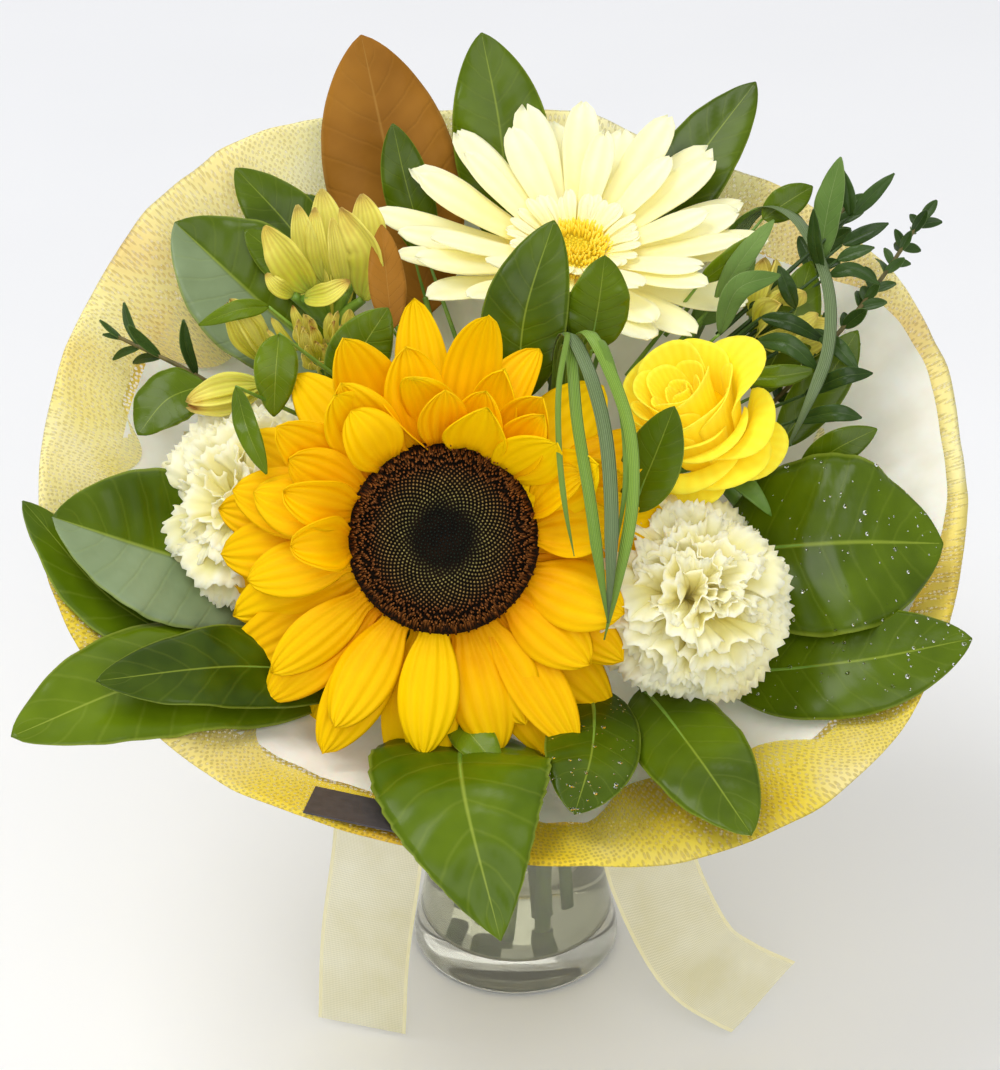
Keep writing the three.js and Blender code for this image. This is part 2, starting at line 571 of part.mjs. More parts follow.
const LEAVES = {
  leaf_bronze_back: {
    base: [-32, 62, 240], mid: [-47, 92, 288], tip: [-57, 112, 329],
    width: 50, facing: [0.15, -0.85, 0.5], ring: 120, colour: 0x7a4b25,
  },
  leaf_back: {
    base: [-3, 78, 256], mid: [-6, 98, 296], tip: [-13, 116, 328],
    width: 36, facing: [0, -0.85, 0.5], ring: 95,
  },
  leaf_back_right: {
    base: [40, 66, 254], mid: [64, 90, 286], tip: [88, 112, 310],
    width: 30, facing: [-0.3, -0.7, 0.6], ring: 66,
  },
  leaf_upper_left: {
    base: [-64, 18, 240], mid: [-94, 30, 266], tip: [-122, 44, 288],
    width: 50, facing: [0.2, -0.65, 0.75], ring: 163,
  },
  leaf_upper_left_behind: {
    base: [-60, 48, 248], mid: [-82, 62, 276], tip: [-102, 74, 294],
    width: 26, facing: [0.2, -0.75, 0.6], ring: 143,
  },
  leaf_left_broad: {
    base: [-82, -61, 203], mid: [-121, -74, 225], tip: [-156, -80, 243],
    width: 58, facing: [0.1, -0.5, 0.86], ring: -149,
  },
  leaf_left_under: {
    base: [-104, -92, 200], mid: [-134, -90, 214], tip: [-167, -70, 243],
    width: 34, facing: [0.25, -0.1, 0.95], ring: -137,
  },
  leaf_front_left_long: {
    base: [-60, -80, 180], mid: [-118, -121, 206], tip: [-164, -155, 207],
    width: 46, facing: [-0.1, -0.5, 0.86], ring: -125,
  },
  leaf_front_left: {
    base: [-50, -90, 188], mid: [-96, -120, 210], tip: [-137, -141, 219],
    width: 30, facing: [-0.1, -0.6, 0.8], ring: -114,
  },
  leaf_front_hanging: {
    base: [-18, -108, 177], mid: [-18, -162, 190], tip: [-6, -200, 159],
    width: 62, facing: [0, -0.55, 0.85], ring: -103,
  },
  leaf_front_glossy: {
    base: [24, -98, 186], mid: [24, -140, 190], tip: [18, -166, 184],
    width: 32, facing: [0, -0.6, 0.8], ring: -81,
  },
  leaf_front_right: {
    base: [42, -98, 186], mid: [58, -138, 188], tip: [75, -172, 180],
    width: 36, facing: [0.05, -0.5, 0.86], ring: -61,
  },
  leaf_right_under: {
    base: [70, -75, 178], mid: [112, -93, 193], tip: [154, -88, 199],
    width: 40, facing: [0.1, -0.6, 0.8], ring: -36,
  },
  leaf_right_broad: {
    base: [66, -49, 207], mid: [110, -65, 223], tip: [146, -58, 218],
    width: 66, facing: [0.1, -0.65, 0.76], ring: -22,
  },
  leaf_rose_side: {
    base: [37, -81, 246], mid: [44, -83, 266], tip: [51, -80, 286],
    width: 20, facing: [-0.2, -0.9, 0.4], ring: -71,
  },
  leaf_centre_tall: {
    base: [0, -46, 268], mid: [2, -38, 296], tip: [12, -20, 323],
    width: 30, facing: [-0.2, -0.9, 0.4], ring: -92,
  },
  leaf_centre_small: {
    base: [24, -36, 280], mid: [27, -34, 298], tip: [29, -30, 315],
    width: 22, facing: [0.2, -0.9, 0.4], tie: [5, -3.4],
  },
  leaf_bud_side: {
    base: [-58, -40, 266], mid: [-54, -38, 281], tip: [-44, -32, 296],
    width: 22, facing: [0, -0.85, 0.5], ring: 175,
  },
  leaf_grey_green: {
    base: [64, 16, 262], mid: [72, 22, 272], tip: [84, 30, 284],
    width: 16, facing: [0.3, -0.7, 0.6], tie: [5.2, 9], colour: 0x6d8a5c,
  },
};

for (const [name, shape] of Object.entries(LEAVES)) leaf(name, shape);

// --- Room for what touches -------------------------------------------------------------------

const meshes = (...names) => names.map((name) => root.getObjectByName(name));
makeRoom(water, meshes("sunflower_stem", "gerbera_stem", "rose_stem", "carnation_right_stem",
  "carnation_left_stem", "alstroemeria_left_stem", "alstroemeria_right_flower"));
makeRoom(sunFront, meshes("leaf_rose_side"));
makeRoom(sunBack, meshes("leaf_rose_side", "leaf_front_left", "leaf_front_hanging", "leaf_front_glossy"));
makeRoom(carnationRight.bloom, [sunFront, sunBack, rosePetals]);
makeRoom(carnationLeft.bloom, [sunFront, sunBack]);
makeRoom(carnationLeft.bloom, meshes("leaf_left_broad", "alstroemeria_left_bud_low"));
makeRoom(carnationLeft.cup, meshes("leaf_left_broad"));
makeRoom(root.getObjectByName("box_sprig_back"), meshes("grass_loop_right"));

export default root;
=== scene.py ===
"""Looks of the hand-tied posy in its glass vase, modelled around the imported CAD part.

Lengths in the tables are millimetres and angles are degrees, unless a name says otherwise.
"""

import math

import bpy
import numpy as np
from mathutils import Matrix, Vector


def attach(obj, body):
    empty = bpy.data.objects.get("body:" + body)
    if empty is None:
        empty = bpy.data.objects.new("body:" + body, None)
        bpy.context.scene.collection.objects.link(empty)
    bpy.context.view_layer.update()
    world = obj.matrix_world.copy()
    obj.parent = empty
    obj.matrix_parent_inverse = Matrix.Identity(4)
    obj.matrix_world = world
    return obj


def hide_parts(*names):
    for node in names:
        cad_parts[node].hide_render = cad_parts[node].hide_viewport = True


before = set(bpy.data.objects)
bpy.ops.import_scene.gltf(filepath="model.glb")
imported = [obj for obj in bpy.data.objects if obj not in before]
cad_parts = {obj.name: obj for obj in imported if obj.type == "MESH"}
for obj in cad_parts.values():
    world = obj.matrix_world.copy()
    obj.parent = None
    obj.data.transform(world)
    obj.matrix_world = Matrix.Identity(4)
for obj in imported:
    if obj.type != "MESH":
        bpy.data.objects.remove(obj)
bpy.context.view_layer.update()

bl_info = {
    "name": "Posy in a vase",
    "blender": (4, 5, 0),
    "version": (1, 0, 0),
    "location": "View3D > Sidebar > Posy",
    "description": "Models a wrapped posy of mixed flowers in a glass vase, piece by piece",
    "category": "Add Mesh",
}

MM = 0.001
DECIMETRE = 0.1
TAU = 2 * math.pi
GOLDEN = math.radians(137.508)
DOUBLED = 1e-6  # metres between corners that count as one
SMOOTH_BELOW = math.radians(40)

# --- Places shared with the CAD part ---------------------------------------------------------

TIE_ROWS = (138, 148, 160)
STALK_RING = 13.5
SPREAD_IN_WATER = 1.7
SPIRAL = -0.9
VASE_OUTER = [(36.5, 0), (38.7, 1.2), (39.5, 4), (38.1, 11), (35.3, 24), (33.5, 48), (32.5, 90),
              (33.5, 136), (35, 147)]
VASE_INNER = [(32, 148), (30.5, 136), (29.5, 90), (30.5, 48), (32.3, 24), (32.5, 13), (28.5, 11)]
WATER_LEVEL = 96
COLLAR_CENTRE = np.array([-2.5, -26, 231])
COLLAR_TILT, COLLAR_ROLL = 0.386, 0.1
COLLAR_RADIUS, NECK_RADIUS, NECK_Z = 163.5, 18.5, 158
RIBBON_WIDTH = 34

HEADS = {
    "sunflower": ((-25, -96, 245), (0.015, -0.84, 0.545)),
    "gerbera": ((20, 36, 280.5), (0.02, -0.17, 0.985)),
    "rose": ((58, -42, 260), (-0.36, -0.22, 0.9)),
    "carnation_right": ((58, -92, 220), (0.3, -0.6, 0.74)),
    "carnation_left": ((-92, -60, 235), (-0.42, -0.6, 0.68)),
}
# head: depth of the stem's end behind it, place in the tie, radius, length of the straight end
HEAD_STEMS = {
    "sunflower": (24, (-1, -5), 4, 30),
    "gerbera": (16, (1, 4.2), 2.75, 30),
    "rose": (31, (7.4, 0), 2.4, 30),
    "carnation_right": (49, (6.9, -7.4), 1.9, 12),
    "carnation_left": (49, (-8, -3.6), 1.9, 12),
}
# where the stalks of the two alstroemerias' flowers part
UMBEL, UMBEL_RIGHT = (-62, -12, 250), (83, 20, 248)

# leaf: base, middle, tip, width, direction its upper side faces, place in the tie
LEAVES = {
    "leaf_bronze_back": ((-32, 62, 240), (-47, 92, 288), (-57, 112, 329), 50, (0.15, -0.85, 0.5), 120),
    "leaf_back": ((-3, 78, 256), (-6, 98, 296), (-13, 116, 328), 36, (0, -0.85, 0.5), 95),
    "leaf_back_right": ((40, 66, 254), (64, 90, 286), (88, 112, 310), 30, (-0.3, -0.7, 0.6), 66),
    "leaf_upper_left": ((-64, 18, 240), (-94, 30, 266), (-122, 44, 288), 50, (0.2, -0.65, 0.75), 163),
    "leaf_upper_left_behind":
        ((-60, 48, 248), (-82, 62, 276), (-102, 74, 294), 26, (0.2, -0.75, 0.6), 143),
    "leaf_left_broad": ((-82, -61, 203), (-121, -74, 225), (-156, -80, 243), 58, (0.1, -0.5, 0.86), -149),
    "leaf_left_under": ((-104, -92, 200), (-134, -90, 214), (-167, -70, 243), 34, (0.25, -0.1, 0.95), -137),
    "leaf_front_left_long":
        ((-60, -80, 180), (-118, -121, 206), (-164, -155, 207), 46, (-0.1, -0.5, 0.86), -125),
    "leaf_front_left": ((-50, -90, 188), (-96, -120, 210), (-137, -141, 219), 30, (-0.1, -0.6, 0.8), -114),
    "leaf_front_hanging": ((-18, -108, 177), (-18, -162, 190), (-6, -200, 159), 62, (0, -0.55, 0.85), -103),
    "leaf_front_glossy": ((24, -98, 186), (24, -140, 190), (18, -166, 184), 32, (0, -0.6, 0.8), -81),
    "leaf_front_right": ((42, -98, 186), (58, -138, 188), (75, -172, 180), 36, (0.05, -0.5, 0.86), -61),
    "leaf_right_under": ((70, -75, 178), (112, -93, 193), (154, -88, 199), 40, (0.1, -0.6, 0.8), -36),
    "leaf_right_broad": ((66, -49, 207), (110, -65, 223), (146, -58, 218), 66, (0.1, -0.65, 0.76), -22),
    "leaf_rose_side": ((37, -81, 246), (44, -83, 266), (51, -80, 286), 20, (-0.2, -0.9, 0.4), -71),
    "leaf_centre_tall": ((0, -46, 268), (2, -38, 296), (12, -20, 323), 30, (-0.2, -0.9, 0.4), -92),
    "leaf_centre_small": ((24, -36, 280), (27, -34, 298), (29, -30, 315), 22, (0.2, -0.9, 0.4), (5, -3.4)),
    "leaf_bud_side": ((-58, -40, 266), (-54, -38, 281), (-44, -32, 296), 22, (0, -0.85, 0.5), 175),
    "leaf_grey_green": ((64, 16, 262), (72, 22, 272), (84, 30, 284), 16, (0.3, -0.7, 0.6), (5.2, 9)),
}
# small leaves that the CAD part leaves out: base, middle, tip, width, facing, finish
SMALL_LEAVES = [
    ((-32, 62, 262), (-40, 72, 288), (-45, 80, 309), 18, (0.1, -0.9, 0.4), "dark"),
    ((-55, 50, 262), (-72, 66, 274), (-88, 78, 280), 22, (0.2, -0.7, 0.7), "dark"),
    ((-70, 28, 262), (-85, 36, 278), (-97, 42, 286), 16, (0.2, -0.7, 0.7), "dark"),
    ((-108, -18, 258), (-121, -25, 256), (-131, -34, 247), 22, (-0.2, -0.6, 0.8), "dark"),
    ((-22, -118, 190), (-15, -131, 189), (-6, -142, 184), 14, (0, -0.6, 0.8), "fresh"),
    ((14, -45, 268), (17, -32, 284), (20, -20, 297), 16, (0.1, -0.9, 0.4), "dark"),
    ((-43, -22, 282), (-45, -10, 295), (-47, 5, 308), 13, (0.1, -0.9, 0.4), "bronze"),
    ((-80, -48, 295), (-81, -56, 286), (-82, -60, 270), 15, (0, -0.95, 0.3), "fresh"),
    ((-94, -64, 284), (-89, -84, 279), (-83, -90, 266), 8, (0, -0.95, 0.3), "fresh"),
    ((-86, -8, 283), (-96, -12, 284), (-110, -14, 279), 7, (0, -0.8, 0.6), "fresh"),
    ((70, -8, 272), (76, -8, 290), (91, 0, 291), 9, (0.3, -0.8, 0.5), "grey"),
    ((69, 10, 274), (78, 8, 293), (89, 16, 304), 8, (-0.3, -0.8, 0.5), "grey"),
    ((64, 12, 281), (74, 10, 291), (85, 14, 300), 9, (0.4, -0.8, 0.3), "fresh"),
    ((88, 54, 284), (97, 56, 290), (106, 60, 294), 12, (0, -0.8, 0.6), "fresh"),
    ((107, 34, 276), (110, 40, 297), (114, 46, 313), 11, (-0.5, -0.8, 0.3), "grey"),
    ((119, 40, 293), (125, 41, 300), (133, 43, 308), 5.6, (0.2, -0.8, 0.5), "box"),
    ((118, 41, 292), (117, 41, 300), (115, 43, 309), 5.2, (-0.3, -0.8, 0.5), "box"),
    ((115, 33, 285), (122, 33, 289), (131, 34, 293), 5.8, (0.1, -0.7, 0.7), "box"),
    ((107, 23, 279), (104, 20, 292), (103, 22, 305), 5.6, (-0.4, -0.8, 0.4), "box"),
    ((110, 25, 277), (118, 24, 280), (128, 22, 275), 5.4, (0.1, -0.7, 0.7), "box"),
    ((113, 29, 281), (119, 29, 284), (126, 29, 286), 5.0, (0, -0.7, 0.7), "box"),
    ((84, 4, 240), (96, 14, 262), (104, 30, 280), 20, (0, -0.8, 0.6), "dark"),
    ((92, -8, 226), (108, 2, 246), (120, 12, 262), 18, (0, -0.8, 0.6), "dark"),
    ((98, -30, 228), (110, -32, 240), (124, -30, 247), 13, (0, -0.8, 0.6), "dark"),
    ((104, 6, 266), (112, -4, 264), (119, -8, 257), 6.2, (0.1, -0.8, 0.6), "box"),
    ((100, -12, 250), (113, -18, 261), (123, -16, 261), 6.2, (0, -0.8, 0.6), "box"),
    ((96, -20, 244), (110, -26, 251), (119, -26, 249), 6.2, (0, -0.8, 0.6), "box"),
    ((83, -4, 267), (94, -10, 269), (105, -12, 259), 7, (0, -0.8, 0.6), "box"),
    ((85, 4, 272), (95, 0, 272), (108, 2, 263), 6.2, (0, -0.8, 0.6), "box"),
    ((78, -14, 258), (91, -16, 260), (103, -14, 261), 8, (0, -0.8, 0.6), "dark"),
    ((98, 14, 270), (94, 10, 281), (91, 12, 288), 6.2, (0, -0.8, 0.6), "box"),
]


# --- Curves and frames -----------------------------------------------------------------------


def unit(vector):
    vector = np.asarray(vector, float)
    return vector / np.maximum(np.linalg.norm(vector, axis=-1, keepdims=True), 1e-9)


def along(points, t):
    """Places on the centripetal spline through the points that the CAD part also uses; t is 0 to 1."""
    points = np.asarray(points, float)
    count = len(points)
    t = np.clip(np.atleast_1d(np.asarray(t, float)), 0, 1) * (count - 1)
    first = np.minimum(np.floor(t).astype(int), count - 2)
    weight = (t - first)[:, None]
    padded = np.vstack([2 * points[0] - points[1], points, 2 * points[-1] - points[-2]])
    p0, p1, p2, p3 = (padded[first + k] for k in range(4))
    gap = [np.sqrt(np.linalg.norm(b - a, axis=1, keepdims=True)) for a, b in ((p0, p1), (p1, p2), (p2, p3))]
    d0, d1, d2 = (np.maximum(g, 1e-4) for g in gap)
    start = ((p1 - p0) / d0 - (p2 - p0) / (d0 + d1) + (p2 - p1) / d1) * d1
    end = ((p2 - p1) / d1 - (p3 - p1) / (d1 + d2) + (p3 - p2) / d2) * d1
    return (p1 + start * weight + (-3 * p1 + 3 * p2 - 2 * start - end) * weight ** 2
            + (2 * p1 - 2 * p2 + start + end) * weight ** 3)


def heading(points, t):
    step = 1e-3
    t = np.atleast_1d(np.asarray(t, float))
    return unit(along(points, np.minimum(t + step, 1)) - along(points, np.maximum(t - step, 0)))


def foot_of(tie, z):
    x, y = tie
    turned = (x * math.cos(SPIRAL) - y * math.sin(SPIRAL), x * math.sin(SPIRAL) + y * math.cos(SPIRAL))
    return (SPREAD_IN_WATER * turned[0], SPREAD_IN_WATER * turned[1], z)


def bound(tie):
    return [(tie[0], tie[1], z) for z in TIE_ROWS]


def stood(tie, z=14):
    return [foot_of(tie, z), (*tie, TIE_ROWS[1]), (*tie, TIE_ROWS[2])]


def in_ring(ring):
    if isinstance(ring, tuple):
        return ring
    return STALK_RING * math.cos(math.radians(ring)), STALK_RING * math.sin(math.radians(ring))


class Head:
    """A flower's own frame: its +Z looks along the axis."""

    def __init__(self, name):
        place, axis = HEADS[name]
        self.place = np.array(place, float)
        turn = Vector((0, 0, 1)).rotation_difference(Vector(axis).normalized())
        self.turn = np.array(turn.to_matrix())

    def world(self, places):
        return np.asarray(places, float) @ self.turn.T + self.place


def turned_z(places, angle):
    c, s = math.cos(angle), math.sin(angle)
    return places @ np.array([[c, s, 0], [-s, c, 0], [0, 0, 1]])


def turned_x(places, angle):
    c, s = math.cos(angle), math.sin(angle)
    return places @ np.array([[1, 0, 0], [0, c, s], [0, -s, c]])


def turned_y(places, angle):
    c, s = math.cos(angle), math.sin(angle)
    return places @ np.array([[c, 0, -s], [0, 1, 0], [s, 0, c]])


# --- Primitives and meshes -------------------------------------------------------------------

GRIDS = {}


def read(mesh):
    places = np.empty(len(mesh.vertices) * 3)
    mesh.vertices.foreach_get("co", places)
    return places.reshape(-1, 3)


def grid(across, lengthwise):
    """A flat grid's u, v and faces: the primitive that every petal and blade is shaped from."""
    if (across, lengthwise) not in GRIDS:
        bpy.ops.object.select_all(action="DESELECT")
        bpy.ops.mesh.primitive_grid_add(x_subdivisions=across, y_subdivisions=lengthwise, size=1)
        flat = bpy.context.active_object
        places = read(flat.data) + 0.5
        faces = np.array([tuple(p.vertices) for p in flat.data.polygons])
        GRIDS[across, lengthwise] = places[:, 0], places[:, 1], faces
        bpy.data.objects.remove(flat, do_unlink=True)
    return GRIDS[across, lengthwise]


def part(places, faces, u, v, tone=0.5, slot=0):
    return {"places": places, "faces": faces, "u": u, "v": v, "tone": tone, "slot": slot}


def assemble(name, parts, *finishes):
    """One mesh object from parts whose places are in millimetres; a part's slot counts the finishes."""
    places, faces, uv, tones, slots, start = [], [], [], [], [], 0
    for p in parts:
        count = len(p["places"])
        places.append(p["places"])
        faces.extend((np.asarray(f) + start).tolist() for f in p["faces"])
        uv.append(np.column_stack([p["u"], p["v"]]))
        tones.append(np.broadcast_to(p["tone"], count))
        slots.extend([p["slot"]] * len(p["faces"]))
        start += count
    mesh = bpy.data.meshes.new(name)
    mesh.from_pydata((np.vstack(places) * MM).tolist(), [], faces)
    layer = mesh.uv_layers.new(name="UVMap")
    corner = np.empty(len(mesh.loops), int)
    mesh.loops.foreach_get("vertex_index", corner)
    layer.data.foreach_set("uv", np.vstack(uv)[corner].ravel())
    tone = mesh.attributes.new("tone", "FLOAT", "POINT")
    tone.data.foreach_set("value", np.concatenate(tones).astype(np.float32))
    for finish in finishes:
        mesh.materials.append(MATERIALS[finish])
    mesh.polygons.foreach_set("material_index", slots)
    mesh.polygons.foreach_set("use_smooth", [True] * len(mesh.polygons))
    mesh.update()
    piece = bpy.data.objects.new(name, mesh)
    bpy.context.collection.objects.link(piece)
    return piece


def only(piece):
    bpy.ops.object.select_all(action="DESELECT")
    piece.select_set(True)
    bpy.context.view_layer.objects.active = piece


def thicken(piece, thickness, back_slot=0):
    """Gives a blade its thickness below its upper side, and its own finish underneath."""
    only(piece)
    bpy.ops.object.modifier_add(type="SOLIDIFY")
    shell = piece.modifiers[-1]
    shell.thickness = thickness * MM
    shell.offset = -1
    shell.material_offset = back_slot
    bpy.ops.object.modifier_apply(modifier=shell.name)
    return piece


def mend(piece, outwards=True):
    """Merges doubled corners and turns the faces of a closed piece outwards."""
    only(piece)
    bpy.ops.object.mode_set(mode="EDIT")
    bpy.ops.mesh.select_all(action="SELECT")
    bpy.ops.mesh.remove_doubles(threshold=DOUBLED)
    if outwards:
        bpy.ops.mesh.normals_make_consistent(inside=False)
    bpy.ops.object.mode_set(mode="OBJECT")
    return piece


def joined(name, *pieces):
    """The pieces as one object."""
    only(pieces[0])
    for piece in pieces[1:]:
        piece.select_set(True)
    bpy.ops.object.join()
    pieces[0].name = name
    return pieces[0]


def spun(name, profile, finish, steps, head=None):
    """A turned solid: a profile of (radius, height) spun round Z, placed in a head's frame."""
    mesh = bpy.data.meshes.new(name)
    places = [(r * MM, 0, z * MM) for r, z in profile]
    mesh.from_pydata(places, [(i, i + 1) for i in range(len(places) - 1)], [])
    piece = bpy.data.objects.new(name, mesh)
    bpy.context.collection.objects.link(piece)
    only(piece)
    bpy.ops.object.mode_set(mode="EDIT")
    bpy.ops.mesh.select_all(action="SELECT")
    bpy.ops.mesh.spin(steps=steps, angle=TAU, center=(0, 0, 0), axis=(0, 0, 1))
    bpy.ops.object.mode_set(mode="OBJECT")
    mend(piece)
    if head:
        mesh.vertices.foreach_set("co", (head.world(read(mesh) / MM) * MM).ravel())
    mesh.materials.append(MATERIALS[finish])
    bpy.ops.object.shade_smooth_by_angle(angle=SMOOTH_BELOW)
    return piece


def rounded(profile, times=1):
    """The profile with its corners cut, its ends kept."""
    for _ in range(times):
        cut = [profile[0]]
        for (r0, z0), (r1, z1) in zip(profile, profile[1:]):
            cut += [(0.75 * r0 + 0.25 * r1, 0.75 * z0 + 0.25 * z1),
                    (0.25 * r0 + 0.75 * r1, 0.25 * z0 + 0.75 * z1)]
        profile = cut + [profile[-1]]
    return profile


def tube(points, radii, sides, steps, slot=0):
    """A closed round rod along the spline through the points, with its radii spread evenly along it."""
    t = np.linspace(0, 1, steps + 1)
    centre, ahead = along(points, t), heading(points, t)
    radius = np.interp(t, np.linspace(0, 1, len(radii)), radii)
    side = np.empty_like(ahead)
    last = unit(np.cross(ahead[0], (0.3, 0.9, 0.2)))
    for i, forward in enumerate(ahead):
        last = unit(last - forward * np.dot(last, forward))
        side[i] = last
    up = np.cross(ahead, side)
    angle = TAU * np.arange(sides) / sides
    ring = (side[:, None] * np.cos(angle)[None, :, None] + up[:, None] * np.sin(angle)[None, :, None])
    places = (centre[:, None] + ring * radius[:, None, None]).reshape(-1, 3)
    row, col = np.meshgrid(np.arange(steps), np.arange(sides), indexing="ij")
    a, b = row * sides + col, row * sides + (col + 1) % sides
    faces = np.stack([a, b, b + sides, a + sides], -1).reshape(-1, 4).tolist()
    faces.append(list(range(sides))[::-1])
    faces.append([steps * sides + k for k in range(sides)])
    return part(places, faces, np.tile(np.arange(sides) / sides, steps + 1), np.repeat(t, sides), slot=slot)


def settle(piece, slot, *nodes):
    """The piece rides on the posy and stands for its CAD nodes, which it hides; slot is not used."""
    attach(piece, "root")
    if nodes:
        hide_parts(*nodes)
    return piece


# --- Materials -------------------------------------------------------------------------------

def feed(tree, socket, value):
    """Sets a socket to a value, or links it to the socket that the value is."""
    if isinstance(value, bpy.types.NodeSocket):
        tree.links.new(value, socket)
    else:
        socket.default_value = value


def node(tree, kind, inputs=None, **settings):
    made = tree.nodes.new("ShaderNode" + kind)
    for key, value in settings.items():
        setattr(made, key, value)
    for key, value in (inputs or {}).items():
        feed(tree, made.inputs[key], value)
    return made


def maths(tree, operation, *values):
    return node(tree, "Math", dict(enumerate(values)), operation=operation).outputs[0]


def times(tree, *values):
    return maths(tree, "MULTIPLY", *values)


def plus(tree, *values):
    return maths(tree, "ADD", *values)


def minus(tree, *values):
    return maths(tree, "SUBTRACT", *values)


def ranged(tree, value, low, high, first=0.0, last=1.0):
    """How far the value is from low to high, as a number from first to last."""
    return node(tree, "MapRange", {"Value": value, "From Min": low, "From Max": high, "To Min": first,
                                   "To Max": last}).outputs[0]


def uv_map(tree):
    return node(tree, "UVMap", uv_map="UVMap").outputs[0]


def split(tree, vector):
    return node(tree, "SeparateXYZ", {0: vector}).outputs


def tone_of(tree):
    """Each petal's, leaf's or floret's own number from 0 to 1; on the sunflower's petals it also holds painted
    shade.
    """
    return node(tree, "Attribute", attribute_name="tone").outputs["Fac"]


def linear(hex_colour):
    """A linear colour from an 0xrrggbb one."""
    channels = [(hex_colour >> shift & 255) / 255 for shift in (16, 8, 0)]
    return (*((c / 12.92 if c < 0.04045 else ((c + 0.055) / 1.055) ** 2.4) for c in channels), 1)


def ramp(tree, value, stops):
    made = node(tree, "ValToRGB", {"Fac": value})
    elements = made.color_ramp.elements
    while len(elements) < len(stops):
        elements.new(0.5)
    for element, (place, colour) in zip(elements, stops):
        element.position = place
        element.color = linear(colour)
    return made.outputs["Color"]


def mixed(tree, factor, first, second):
    return node(tree, "Mix", {0: factor, 6: first, 7: second}, data_type="RGBA").outputs[2]


def group(name, inputs, outputs):
    """An empty shader node group with float inputs (name: default) and float outputs (names)."""
    tree = bpy.data.node_groups.new(name, "ShaderNodeTree")
    for key, default in inputs.items():
        tree.interface.new_socket(key, in_out="INPUT", socket_type="NodeSocketFloat").default_value = default
    for key in outputs:
        tree.interface.new_socket(key, in_out="OUTPUT", socket_type="NodeSocketFloat")
    return tree, tree.nodes.new("NodeGroupInput").outputs, tree.nodes.new("NodeGroupOutput").inputs


def mottle_group():
    """Cloudy unevenness on Object coordinates, from 0 to 1."""
    tree, given, out = group("mottle", {"Scale": 60}, ["Value"])
    where = node(tree, "TexCoord").outputs["Object"]
    noise = node(tree, "TexNoise", {"Vector": where, "Scale": given["Scale"], "Detail": 3.0})
    feed(tree, out["Value"], ranged(tree, noise.outputs[0], 0.3, 0.7))
    return tree


def ribs_group():
    """Fine ribs that run the length of a petal or blade, as a height from 0 to 1."""
    tree, given, out = group("ribs", {"Count": 12, "Waver": 0.02}, ["Height"])
    where = uv_map(tree)
    noise = node(tree, "TexNoise", {"Vector": where, "Scale": 5.0})
    shifted = plus(tree, split(tree, where)[0], times(tree, noise.outputs[0], given["Waver"]))
    wave = maths(tree, "SINE", times(tree, times(tree, shifted, TAU), given["Count"]))
    feed(tree, out["Height"], maths(tree, "MULTIPLY_ADD", wave, 0.5, 0.5))
    return tree


def veins_group():
    """A leaf's midrib, the side veins that leave it at a slant and its edge, as masks from 0 to 1."""
    tree, given, out = group("veins", {"Count": 9}, ["Midrib", "Veins", "Edge"])
    slant, waver = 0.32, 0.05
    where = uv_map(tree)
    across, lengthwise, _ = split(tree, where)
    off = maths(tree, "ABSOLUTE", minus(tree, across, 0.5))
    noise = node(tree, "TexNoise", {"Vector": where, "Scale": 3.0})
    slanted = plus(tree, minus(tree, lengthwise, times(tree, off, slant)), times(tree, noise.outputs[0], waver))
    wave = maths(tree, "PINGPONG", times(tree, slanted, given["Count"]), 0.5)
    feed(tree, out["Midrib"], ranged(tree, off, 0.004, 0.016, 1.0, 0.0))
    feed(tree, out["Veins"], ranged(tree, wave, 0.0, 0.09, 1.0, 0.0))
    feed(tree, out["Edge"], ranged(tree, off, 0.474, 0.492))
    return tree


def net_group():
    """The threads round the holes of an open net, from flat cloth coordinates in decimetres in the UV map."""
    tree, given, out = group("net", {"Cell": 0.015, "Thread": 0.2}, ["Mask"])
    holes = node(tree, "TexVoronoi", {
        "Vector": uv_map(tree), "Scale": maths(tree, "DIVIDE", 1.0, given["Cell"]), "Randomness": 0.45},
        voronoi_dimensions="2D")
    rim = minus(tree, 0.44, given["Thread"])
    feed(tree, out["Mask"], ranged(tree, holes.outputs["Distance"], rim, plus(tree, rim, 0.14)))
    return tree


GROUP_MAKERS = {"mottle": mottle_group, "ribs": ribs_group, "veins": veins_group, "net": net_group}
GROUPS = {}
MATERIALS = {}


def effect(tree, name, **values):
    """The outputs of a shared node group, which is made the first time that it is used."""
    if name not in GROUPS:
        GROUPS[name] = GROUP_MAKERS[name]()
    return node(tree, "Group", values, node_tree=GROUPS[name]).outputs


def material(name, constants):
    """The node tree and the shader's inputs of a new material, with the shader's own constants set."""
    made = bpy.data.materials.new(name)
    made.use_nodes = True
    sockets = made.node_tree.nodes["Principled BSDF"].inputs
    for key, value in constants.items():
        sockets[key].default_value = value
    MATERIALS[name] = made
    return made.node_tree, sockets


def bump(tree, sockets, height, strength, distance):
    made = node(tree, "Bump", {"Height": height, "Strength": strength, "Distance": distance})
    feed(tree, sockets["Normal"], made.outputs[0])


def plain_finish(name, dark, light, scale, constants, relief=0.0):
    """A finish whose colour drifts between two tints."""
    tree, sockets = material(name, constants)
    value = effect(tree, "mottle", Scale=scale)["Value"]
    feed(tree, sockets["Base Color"], ramp(tree, value, [(0, dark), (1, light)]))
    if relief:
        bump(tree, sockets, value, 1.0, relief)


